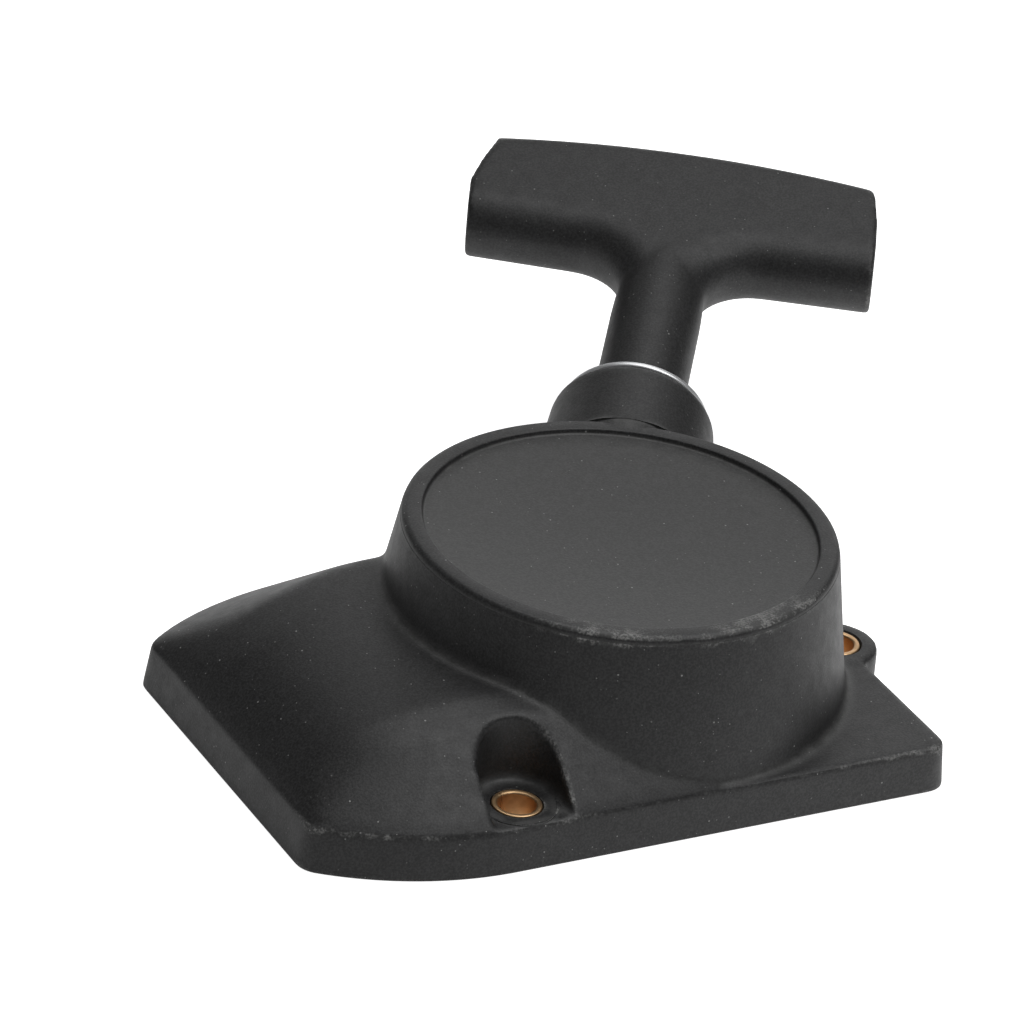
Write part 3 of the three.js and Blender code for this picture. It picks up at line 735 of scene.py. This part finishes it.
def housing_shell(settings, pull):
    top = settings.drum_top / MM
    flange = settings.flange_height / MM
    radius = settings.drum_radius / MM
    wall = settings.wall / MM
    draft = settings.drum_draft
    places = screw_places()
    lug = places["right"]

    outside = blank(skirt(0, -BELOW, flange, TAPER))
    drum = spun([
        (0, -BELOW), (radius + draft * (top + BELOW), -BELOW),
        (radius - draft * 0.6, top + 0.6), (0, top + 0.6),
    ])
    collar_radius = settings.collar_radius / MM
    collar = spun([
        (0, -30), (collar_radius + 1.5, -30), (collar_radius, -1.5, 2.2), (0, -1.5),
    ], 96, pull)
    behind_rim = kept(
        blank(spun([(0, -30), (collar_radius + 1.44, -30), (collar_radius, -1.5), (0, -1.5)],
                   96, pull)),
        tube(radius - 3, radius + 4, top - 4, top + 8),
    )
    lug_post = spun([
        (0, -BELOW), (7.7, -BELOW), (7.7, 0), (7.4, flange + 0.2), (0, flange + 0.2),
    ], 72, moved(lug.x, lug.y))
    gusset = block(41, 52, -3, 3, -BELOW, 14, degrees(54))
    hump = moulded(blank(shoulder(settings, 0)), 0.9, 16)
    joined(outside, hump, drum, collar, lug_post, gusset)
    cut(
        outside,
        pocket(places["front"], -20, settings, flange),
        pocket(places["back"], 20, settings, flange),
        disc(LUG_SEAT, flange + 0.2, top + 1, moved(lug.x, lug.y)),
    )
    moulded(outside, settings.grain / MM, 7, 0.42)

    foot = radius - wall + draft * (top - 2.5)
    hollow = blank(skirt(wall, -BELOW, flange - wall))
    joined(hollow, shoulder(settings, wall))
    cut(hollow, disc(foot + 2, 2, top + 5, segments=96))
    for side, place in places.items():
        spot = moved(place.x, place.y)
        around = (LUG_SEAT if side == "right" else settings.pocket_radius / MM) + 2
        cut(hollow, disc(around, flange - wall - 2, top, spot), disc(6.8, 0, top, spot))
    for y in (-26, 0, 24):
        cut(hollow, block(-70, -41.4, y - 0.9, y + 0.9, 2.5, top))
    moulded(hollow, 0.9, 3, 0.5)

    well = blank(spun([
        (0, -BELOW), (radius - wall + draft * (top - 3.5 + BELOW), -BELOW),
        (radius - wall, top - 3.5, 2.5), (0, top - 3.5),
    ]))
    cut(well, spun([(0, 6.8), (3.4, 6.8, 0.4), (3.4, top - 4.5, 0.1), (4.4, top), (0, top)], 64))
    shell = cut(joined(cut(outside, drum_head(settings)), behind_rim), hollow, well)
    for side, place in places.items():
        spot = moved(place.x, place.y)
        cut(shell, spun([(0, -1), (4.42, -1), (4.42, 7.75, 0.15), (4.75, 8.3), (4.75, 12), (0, 12)],
                        72, spot))
        if side != "right":
            joined(shell, spun([
                (6.6, 7.5), (7.1, 7.5), (7.05, flange + 0.2, 0.08), (6.65, flange + 0.2, 0.08),
            ], 96, spot))
    seat = disc(5.6, -EYELET_DEPTH - 1, 2, pull)
    way = cut(blank(disc(8.2, -34, -EYELET_DEPTH - 0.4, pull)), disc(radius - wall - 6, 0, top))
    cut(shell, seat, way, disc(2, 5.8, 27), block(-90, 90, -90, 90, -20, 0))
    spots = (
        (-62, -33, 8, 20), (-74, -31, 6, 10), (8, -37, 35, 20), (-20, -32, 35, 14),
        (-20, -44, 8, 26), (34, -44, 8, 16),
    )
    return finished(
        taken(shell), "housing_shell", "housing", ["starter_housing"],
        "moulded_housing", spots=spots,
    )


def bushes():
    for side, place in screw_places().items():
        spot = moved(place.x, place.y)
        high = size_of(f"screw_bush_{side}").z
        body = blank(spun([
            (3.25, 0, 0.3), (4.28, 0, 0.2), (4.28, high, 0.22), (3.25, high, 0.42),
        ], 96, spot))
        cut(body, block(3, 5, -0.07, 0.07, -1, high + 1,
                        spot @ degrees(112)))
        finished(taken(body), f"bush_{side}", "housing", [f"screw_bush_{side}"],
                 "turned_bronze")


def eyelet(pull):
    depth = EYELET_DEPTH
    profile = [
        (2.3, -depth + 1, 0.6), (2.3, -1.2), (2.75, -0.35), (3.6, 0, 0.1), (13.5, 0, 0.45),
        (13.5, -1.2, 0.45), (5.3, -1.2, 0.2), (5.3, -depth, 0.35), (3.3, -depth, 0.4),
    ]
    finished(spun(profile, 128, pull), "rope_eyelet", "housing", ["rope_guide_eyelet"],
             "bright_steel")


# --- grip

def grip_outline(settings):
    """The T seen from its face: X along the bar, Y the way it is pulled."""
    stem = settings.stem_radius / MM - 0.8
    low = settings.low / MM
    high = settings.high / MM
    side = [(stem, -10), (stem, low - 10.2)]
    reach = 10.5
    side += arc(stem + reach, low - reach, reach, 180, 90, 10)[1:]
    side += [(BAR_BLANK, low + 0.6)]
    crown = [
        (x, high - 2.7 * (x / 34.3) ** 2)
        for x in (BAR_BLANK * (1 - i / 12) for i in range(25))
    ]
    mirrored = [(-x, y) for x, y in reversed(side)]
    return side, crown, mirrored


def grip_body(settings, pull):
    side, crown, mirrored = grip_outline(settings)
    thick = settings.thickness / MM
    stem = settings.stem_radius / MM
    low = settings.low / MM
    high = settings.high / MM
    bm = plate(side + crown + mirrored, -thick / 2, thick / 2)
    under = []
    for e in bm.edges:
        a, b = (v.co for v in e.verts)
        flat = abs(a.z - b.z) < 0.1
        inner = min(abs(a.x), abs(b.x)) < BAR_BLANK - 0.1 and max(a.y, b.y) > -9.9
        if flat and inner and min(a.y, b.y) < low + 4:
            under.append(e)
    rounded(bm, under, 6.9, 10)
    over = [
        e for e in bm.edges
        if all(v.co.y > low + 9 and abs(abs(v.co.z) - thick / 2) < 0.01 for v in e.verts)
        and len(e.link_faces) == 2 and e.calc_face_angle() > 1.2
    ]
    rounded(bm, over, 2, 5)
    lay = degrees(90, "X")
    bm.transform(lay)
    body = blank(bm)

    left = settings.left / MM
    right = settings.right / MM
    waist = high - 12
    ends = [
        (-right, 0.3), (left - 1, 0.3), (left - 0.6, low + 1.5), (left + 0.2, waist - 4),
        (left - 1, waist + 2), (left - 2.5, high - 5), (left - 3.7, high - 0.5),
        (left - 3.8, high + 20), (4.3 - right, high + 20), (4 - right, high - 0.5),
        (2.1 - right, high - 5), (0.9 - right, waist), (0.4 - right, waist - 6),
        (-right, low + 1.5),
    ]
    trim = plate(ends, -thick, thick)
    trim.transform(lay)
    kept(body, trim)
    body.data.transform(degrees(-BAR_LEAN))
    neck = spun([
        (0, 0.3), (stem, 0.3, 0.5), (stem, low - 9, 6), (thick / 2 - 0.6, low + 6), (0, low + 6),
    ], 96)
    joined(body, neck)
    moulded(body, 0.5, 9, 0.6)
    cut(
        body, disc(2.2, -5, KNOT_ROOM + 2), disc(3.8, KNOT_ROOM, 90), disc(4.8, high - 1.2, 90),
    )
    bm = taken(body)
    bm.transform(pull)
    rubbed = [pull @ Vector(place) for place in (
        (-right, 0, low + 6), (3 - right, 4, high - 3), (left - 6, 7, high - 3),
    )]
    spots = [(*place, 9) for place in rubbed]
    return finished(bm, "pull_grip", "handle", ["handle_grip"], "moulded_grip",
                    spots=spots)


def grip_fittings(settings, pull):
    high = settings.high / MM
    cap = spun([
        (0, high - 4), (3.4, high - 4, 0.4), (3.4, high - 0.95), (4.5, high - 0.95, 0.1),
        (4.5, high - 0.45, 0.3), (3, high - 0.1, 0.5), (0, high),
    ], 64, pull)
    finished(cap, "grip_plug", "handle", ["handle_cap"], "moulded_grip")
    washer = tube(1.9, 3.5, KNOT_ROOM + 0.4, KNOT_ROOM + 2.2, 48)
    washer.transform(pull)
    finished(washer, "rope_washer", "handle", ["knot_plate"], "zinc_plate")


# --- rope

def cord(name, points, radius, cyclic=False):
    """A round cord along a route in millimetres, as a mesh with UVs along and round it."""
    data = bpy.data.curves.new(name, "CURVE")
    data.dimensions = "3D"
    data.bevel_depth = radius
    data.bevel_resolution = 4
    data.use_fill_caps = True
    line = data.splines.new("POLY")
    line.points.add(len(points) - 1)
    line.use_cyclic_u = cyclic
    for target, point in zip(line.points, points):
        target.co = (*point, 1)
    holder = linked(name, data)
    mesh = result_of(holder)
    bpy.data.objects.remove(holder)
    bm = bmesh.new()
    bm.from_mesh(mesh)
    bpy.data.meshes.remove(mesh)
    return bm


def lead_points(pull, radius):
    """From the winding, at a tangent, into the eyelet and up the grip's stem."""
    level = middle("rope_winding").z
    mouth = pull @ Vector((0, 0, -EYELET_DEPTH))
    wound = size_of("rope_winding").x / 2 + radius + 0.1
    reach = math.hypot(mouth.x, mouth.y)
    turn = math.atan2(mouth.y, mouth.x) + math.acos(wound / reach)
    leave = Vector((*on_circle(wound, turn), level))
    inside = pull @ Vector((0, 0, 3 - EYELET_DEPTH))
    route = [leave.lerp(mouth, t / 9) for t in range(9)]
    bend = [mouth.lerp(inside, t / 3) for t in range(4)]
    rise = [pull @ Vector((0, 0, z)) for z in (-11, -8, -4, -1, -0.4, 0.4, 1, 4, 10, KNOT_ROOM + 2)]
    points = route + bend + rise
    for _ in range(2):
        inner = [
            (points[i - 1] + 2 * points[i] + points[i + 1]) / 4 for i in range(1, 14)
        ]
        points[1:14] = inner
    return points


def rope_pieces(settings, pull):
    radius = settings.rope_radius / MM
    lead = cord("pull_rope", lead_points(pull, radius), radius)
    rope = finished(lead, "pull_rope", None, ["rope_lead", "handle_rope"], "rope_pulled")
    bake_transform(rope)

    level = middle("rope_winding").z
    inner = 20.2 + radius
    steps = 48
    for row, offset in (("low", -1), ("high", 1)):
        turns = settings.rope_turns / 2
        total = int(turns * steps)
        points = []
        for i in range(total + 1):
            out = inner + (28 - radius - inner) * i / total
            spot = on_circle(out, math.tau * i / steps)
            points.append((*spot, level + offset * (radius - 0.05)))
        finished(cord("wound", points, radius - 0.02), f"wound_rope_{row}", "pulley",
                 ["rope_winding"], "rope_wound")
    knots = (
        ("reel_knot", "pulley", "pulley_knot",
         moved(15.6, 7, level) @ degrees(90, "X")
         @ Matrix.Scale(0.72, 4)),
        ("grip_knot", "handle", "handle_knot", pull @ moved(0, 0, KNOT_ROOM + 6)),
    )
    for name, body, node, place in knots:
        turns = []
        for i in range(61):
            turns.append((*on_circle(1.45, math.tau * i / 24), 2.6 * i / 60 - 1.3))
        tail = [(0.5, 0, 1.9), (0.2, 0, 2.6), (0, 0, 3.4)]
        bm = cord(name, turns + tail, 1.4)
        bm.transform(place)
        finished(bm, name, body, [node], "rope_wound")


# --- mechanism

def reel():
    body = blank(spun([
        (4.58, 9.5, 0.3), (8, 9.5, 0.5), (8, 13.4, 0.6), (28.6, 13.4, 0.3), (28.6, 12.9, 0.15),
        (31, 12.9, 0.4), (31, 14.5, 0.4), (20, 15, 0.8), (20, 21.2, 0.8), (31, 21.6, 0.3),
        (31, 22.6, 0.3), (8.6, 22.6, 0.4), (8.6, 29.9, 0.3), (4.58, 29.9, 0.3),
    ], 160))
    level = middle("rope_winding").z
    cut(
        body, block(6.5, 10, -1, 1, 23.5, 31),
        block(12, 21, 3.5, 11, level - 2.8, level + 2.8),
    )
    for turn in OPPOSITE:
        cut(body, disc(1.65, 12, 18.3, turned(turn) @ moved(PIVOT_OUT)))
    for i in range(WEB_HOLES):
        spin = turned(math.tau * (i + 0.5) / WEB_HOLES)
        cut(body, soften(block(24.6, 28, -3.2, 3.2, 12, 13.9, spin), 0.5))
    finished(taken(body), "rope_reel", "pulley", ["rope_pulley"], "moulded_reel")
    for i, turn in enumerate(OPPOSITE, 1):
        pin = spun([(0, 9.8), (1.6, 9.8, 0.3), (1.6, 18, 0.2), (0, 18)], 40,
                   turned(turn) @ moved(PIVOT_OUT))
        finished(pin, f"pawl_pivot_{i}", "pulley", [f"pawl_pin_{i}"],
                 "bright_steel")


def peg_place():
    """Middle of a pawl's peg, from the pawl's own pivot."""
    return degrees(-100) @ Vector((7.1, 0, 0))


def pawls():
    lead = math.radians(43)
    nose = Vector((NOSE_OUT * math.cos(lead) - PIVOT_OUT, -NOSE_OUT * math.sin(lead)))
    heel = arc(0, 0, 3.2, 180, 0, 16)

    def curve(a, b, c):
        return [
            tuple(Vector(a) * (1 - t) ** 2 + Vector(b) * 2 * t * (1 - t) + Vector(c) * t * t)
            for t in (i / 8 for i in range(1, 9))
        ]

    tip = (nose.x + 3.2, nose.y)
    toe = (nose.x - 0.4, nose.y - 1.4)
    outline = heel + curve((3.2, 0), (3.6, -7), tip) + [toe]
    outline += curve(toe, (-4.4, -6), (-3.2, 0))[:-1]
    for i, turn in enumerate(OPPOSITE, 1):
        body = blank(soften(plate(outline, 9.8, 12.8), 0.25, 60))
        joined(body, spun([(0, 8.2), (1.2, 8.2, 0.2), (1.2, 10.3), (0, 10.3)], 32,
                          moved(*peg_place())))
        cut(body, disc(1.66, 0, 30))
        bm = taken(body)
        bm.transform(turned(turn) @ moved(PIVOT_OUT))
        finished(bm, f"drive_pawl_{i}", f"pawl_{i}", [f"pawl_{i}"], "zinc_plate")


def guide():
    body = blank(tube(5.2, 22.5, 8.1, 9.2, 160, 0.25))
    steps = 8
    for turn in OPPOSITE:
        beads = []
        for i in range(steps + 1):
            share = i / steps
            peg = moved(PIVOT_OUT) @ degrees(PAWL_SWING * share) @ peg_place()
            peg = turned(turn - math.radians(GUIDE_TURN * share)) @ peg
            rim = arc(peg.x, peg.y, 1.75, 0, 345, 23)
            beads.append([(x, y, z) for x, y in rim for z in (7, 10.5)])
        links = [hull(beads[i] + beads[i + 1]) for i in range(steps)]
        slot = joined(blank(links[0]), *links[1:])
        cut(body, slot)
    finished(taken(body), "guide_disc", "guide", ["pawl_guide_plate"],
             "zinc_plate")
    ring = [(x, y, 7.4) for x, y in arc(0, 0, 6.56, 20, 340, 64)]
    finished(cord("drag", ring, 0.46), "drag_spring", "guide", ["friction_spring"],
             "spring_steel")


def spring_pack(settings):
    finished(spun([
        (31.6, 23.9, 0.1), (32.6, 23.9, 0.1), (32.6, 31.2, 1), (5.6, 31.2, 0.1),
        (5.6, 30.3, 0.1), (31.6, 30.3, 0.3),
    ], 160), "spring_cup", "housing", ["spring_case"], "zinc_plate")
    lid = blank(tube(9.4, 32.6, 23, 23.6, 160, 0.1))
    for i in range(4):
        spin = turned(math.tau * (i + 0.5) / 4)
        cut(lid, disc(2, 20, 26, spin @ moved(20), 40))
    finished(taken(lid), "spring_lid", "housing", ["spring_cover"], "zinc_plate")
    turns = settings.spring_turns
    steps = turns * 40
    bm = bmesh.new()
    path = [bm.verts.new((7, -0.2, 24.1))]
    for i in range(steps + 1):
        spot = on_circle(9.65 + 20.2 * i / steps, math.tau * turns * i / steps)
        path.append(bm.verts.new((*spot, 24.1)))
    edges = [bm.edges.new(pair) for pair in zip(path, path[1:])]
    made = bmesh.ops.extrude_edge_only(bm, edges=edges)
    bmesh.ops.translate(bm, vec=(0, 0, 5.8), verts=verts_of(made))
    strip = worked(blank(bm), "SOLIDIFY", thickness=0.45, offset=0)
    finished(taken(strip), "flat_spring", "housing", ["rewind_spring"],
             "spring_steel")


def centre_parts():
    finished(tube(3.5, 4.5, 6.9, 31, 96, 0.2), "post_sleeve", "housing", ["pivot_sleeve"],
             "bright_steel")
    finished(tube(2.1, 8.5, 5.5, 6.6, 96, 0.25), "end_washer", "housing", ["thrust_washer"],
             "zinc_plate")
    screw = blank(spun([
        (0, 2.4), (3.9, 2.4, 0.5), (4.6, 3.1, 0.4), (4.6, 5.4, 0.1), (1.85, 5.4),
        (1.85, 25.2), (1.2, 26), (0, 26),
    ], 64))
    socket = arc(0, 0, 1.9, 0, 300, 5)
    cut(screw, plate(socket, 0, 4.4), spun([(0, 2.3), (2.2, 2.3), (1.7, 2.9), (0, 2.9)], 32))
    finished(taken(screw), "end_screw", "housing", ["centre_screw"],
             "bright_steel")


# --- stage

def camera_place(settings):
    turn = (
        Matrix.Rotation(math.radians(-31.5), 3, "Z")
        @ Matrix.Rotation(math.radians(61.15), 3, "X")
        @ Matrix.Rotation(settings.roll, 3, "Z")
    )
    return Matrix.Translation(Vector((-0.50757, -0.79236, 0.55323))) @ turn.to_4x4()


def make_camera(settings):
    data = bpy.data.cameras.new("camera")
    data.lens = settings.lens
    data.sensor_width = 36
    data.clip_start = 0.01
    camera = linked("camera", data)
    camera.matrix_world = camera_place(settings)
    bpy.context.scene.camera = camera


def panel(name, place, aim, size, power):
    data = bpy.data.lights.new(name, "AREA")
    data.shape = "RECTANGLE"
    data.size, data.size_y = size
    data.energy = power
    light = linked(name, data)
    out = Vector(place) - Vector(aim)
    light.rotation_mode = "QUATERNION"
    light.rotation_quaternion = out.to_track_quat("Z", "Y")
    light.location = place
    light.visible_camera = False


def make_stage(settings):
    bm = bmesh.new()
    bmesh.ops.create_grid(bm, x_segments=4, y_segments=4, size=6)
    bmesh.ops.translate(bm, vec=(0, 0, -0.0002), verts=bm.verts)
    floor = linked("floor", as_mesh(bm, "floor"))
    made = bpy.data.materials.new("plain_floor")
    made.use_nodes = True
    tree = made.node_tree
    shader = tree.nodes["Principled BSDF"]
    shader.inputs["Base Color"].default_value = settings.floor
    shader.inputs["Roughness"].default_value = 0.9
    shader.inputs["Emission Color"].default_value = settings.floor
    place = add(tree, "TexCoord").outputs["Object"]
    away = add(tree, "VectorMath", {0: place, 1: (0.06, 0.02, 0)}, operation="DISTANCE")
    away = away.outputs["Value"]
    near = maths(tree, "MULTIPLY_ADD", stepped(tree, away, 0.18, 0.06), 0.6, 0.06)
    seen = add(tree, "LightPath").outputs["Is Camera Ray"]
    tree.links.new(maths(tree, "MAXIMUM", near, seen), shader.inputs["Emission Strength"])
    floor.data.materials.append(made)

    for name, place, aim, size, share in (
        ("softbox", (0.2, -0.05, 0.9), (0.2, -0.05, 0), (0.8, 1.3), 1),
        ("side_panel", (0.75, 0.95, 0.55), (0, 0, 0.02), (0.7, 0.5), 0.12),
        ("front_panel", (0.32, -0.42, 0.8), (0, 0, 0.02), (0.4, 0.35), 0.16),
        ("back_panel", (0.5, 0.9, 0.17), (0, 0, 0.03), (1.2, 0.3), 0.25),
    ):
        panel(name, place, aim, size, settings.softbox * share)

    world = bpy.data.worlds.new("studio")
    world.use_nodes = True
    sky = world.node_tree.nodes["Background"].inputs
    sky["Color"].default_value = (1, 1, 1, 1)
    sky["Strength"].default_value = 0.12
    bpy.context.scene.world = world
    bpy.context.scene.view_settings.view_transform = "Standard"


# --- operators

class StarterSettings(bpy.types.PropertyGroup):
    housing: PointerProperty(type=HousingSettings)
    grip: PointerProperty(type=GripSettings)
    mechanism: PointerProperty(type=MechanismSettings)
    finish: PointerProperty(type=FinishSettings)
    stage: PointerProperty(type=StageSettings)


class Step:
    """What every build step does with the scene's settings."""

    def execute(self, context):
        self.build(context.scene.starter)
        return {"FINISHED"}


class STARTER_OT_finishes(Step, bpy.types.Operator):
    """Build the shared finishes and every material"""

    bl_idname = "starter.finishes"
    bl_label = "Finishes"

    def build(self, given):
        f = given.finish
        nylon, metal, braid = moulded_group(), metal_group(), braid_group()
        for name, tint, wear, specks, rough in (
            ("moulded_housing", f.housing, 0.8, 0.7, 0.5),
            ("moulded_grip", f.grip, 0.5, 0.5, 0.52),
            ("moulded_reel", f.reel, 0.25, 0.1, 0.42),
        ):
            material(name, nylon, {
                "Colour": tint, "Worn": f.worn, "Wear": wear, "Specks": specks,
                "Roughness": rough,
            })
        for name, tint, rough in (
            ("turned_bronze", f.bronze, 0.42), ("bright_steel", f.bright, 0.3),
            ("zinc_plate", f.zinc, 0.34), ("spring_steel", f.spring, 0.3),
        ):
            dull = (*(c * 0.7 for c in tint[:3]), 1)
            material(name, metal, {"Colour": tint, "Dull": dull, "Roughness": rough},
                     metallic=1)

        def in_uv(tree):
            return add(tree, "SeparateXYZ", {0: add(tree, "UVMap").outputs[0]}).outputs

        def along_uv(tree):
            return maths(tree, "MULTIPLY", in_uv(tree)[0], 260)

        def round_uv(tree):
            return maths(tree, "MULTIPLY", in_uv(tree)[1], math.tau)

        back = pull_matrix().inverted()
        euler = back.to_euler()
        shift = back.to_translation() * MM

        def in_pull(tree):
            place = add(tree, "TexCoord").outputs["Object"]
            local = add(tree, "Mapping", {
                "Vector": place, "Location": shift, "Rotation": euler,
            })
            return add(tree, "SeparateXYZ", {0: local.outputs[0]}).outputs

        def along_pull(tree):
            return maths(tree, "MULTIPLY", in_pull(tree)[2], 600)

        def round_pull(tree):
            split = in_pull(tree)
            return maths(tree, "ARCTAN2", split[1], split[0])

        material("rope_wound", braid, {"Colour": f.rope}, specular=0.3,
                 links={"Along": along_uv, "Around": round_uv})
        material("rope_pulled", braid, {"Colour": f.rope}, specular=0.3,
                 links={"Along": along_pull, "Around": round_pull})


class STARTER_OT_housing(Step, bpy.types.Operator):
    """Build the moulded housing, its screw bushes and the rope eyelet"""

    bl_idname = "starter.housing"
    bl_label = "Housing"

    def build(self, given):
        pull = pull_matrix()
        housing_shell(given.housing, pull)
        bushes()
        eyelet(pull)


class STARTER_OT_grip(Step, bpy.types.Operator):
    """Build the T-handle with its plug and rope washer"""

    bl_idname = "starter.grip"
    bl_label = "T-handle"

    def build(self, given):
        pull = pull_matrix()
        grip_body(given.grip, pull)
        grip_fittings(given.grip, pull)


class STARTER_OT_rope(Step, bpy.types.Operator):
    """Build the rope: its pulled end, its turns on the reel and its knots"""

    bl_idname = "starter.rope"
    bl_label = "Rope"

    def build(self, given):
        rope_pieces(given.mechanism, pull_matrix())


class STARTER_OT_reel(Step, bpy.types.Operator):
    """Build the rope reel and the pawls with their pivots"""

    bl_idname = "starter.reel"
    bl_label = "Reel and pawls"

    def build(self, given):
        reel()
        pawls()


class STARTER_OT_guide(Step, bpy.types.Operator):
    """Build the pawl guide disc and its friction spring"""

    bl_idname = "starter.guide"
    bl_label = "Pawl guide"

    def build(self, given):
        guide()


class STARTER_OT_spring(Step, bpy.types.Operator):
    """Build the rewind spring in its cup, and the parts on the centre post"""

    bl_idname = "starter.spring"
    bl_label = "Spring and post"

    def build(self, given):
        spring_pack(given.mechanism)
        centre_parts()


class STARTER_OT_stage(Step, bpy.types.Operator):
    """Build the camera, the floor and the lights"""

    bl_idname = "starter.stage"
    bl_label = "Stage"

    def build(self, given):
        make_camera(given.stage)
        make_stage(given.stage)


STEPS = (
    STARTER_OT_stage, STARTER_OT_finishes, STARTER_OT_housing, STARTER_OT_grip,
    STARTER_OT_rope, STARTER_OT_reel, STARTER_OT_guide, STARTER_OT_spring,
)


class STARTER_PT_panel(bpy.types.Panel):
    """Lists the starter's pieces"""

    bl_idname = "STARTER_PT_panel"
    bl_label = "Recoil Starter"
    bl_space_type = "VIEW_3D"
    bl_region_type = "UI"
    bl_category = "Starter"

    def draw(self, context):
        for step in STEPS:
            self.layout.operator(step.bl_idname)


CLASSES = (
    HousingSettings, GripSettings, MechanismSettings, FinishSettings, StageSettings,
    StarterSettings, *STEPS, STARTER_PT_panel,
)


def register():
    for each in CLASSES:
        bpy.utils.register_class(each)
    bpy.types.Scene.starter = PointerProperty(type=StarterSettings)


def unregister():
    del bpy.types.Scene.starter
    for each in reversed(CLASSES):
        bpy.utils.unregister_class(each)


def main():
    register()
    for step in STEPS:
        getattr(bpy.ops.starter, step.bl_idname.partition(".")[2])()


if __name__ == "__main__":
    main()
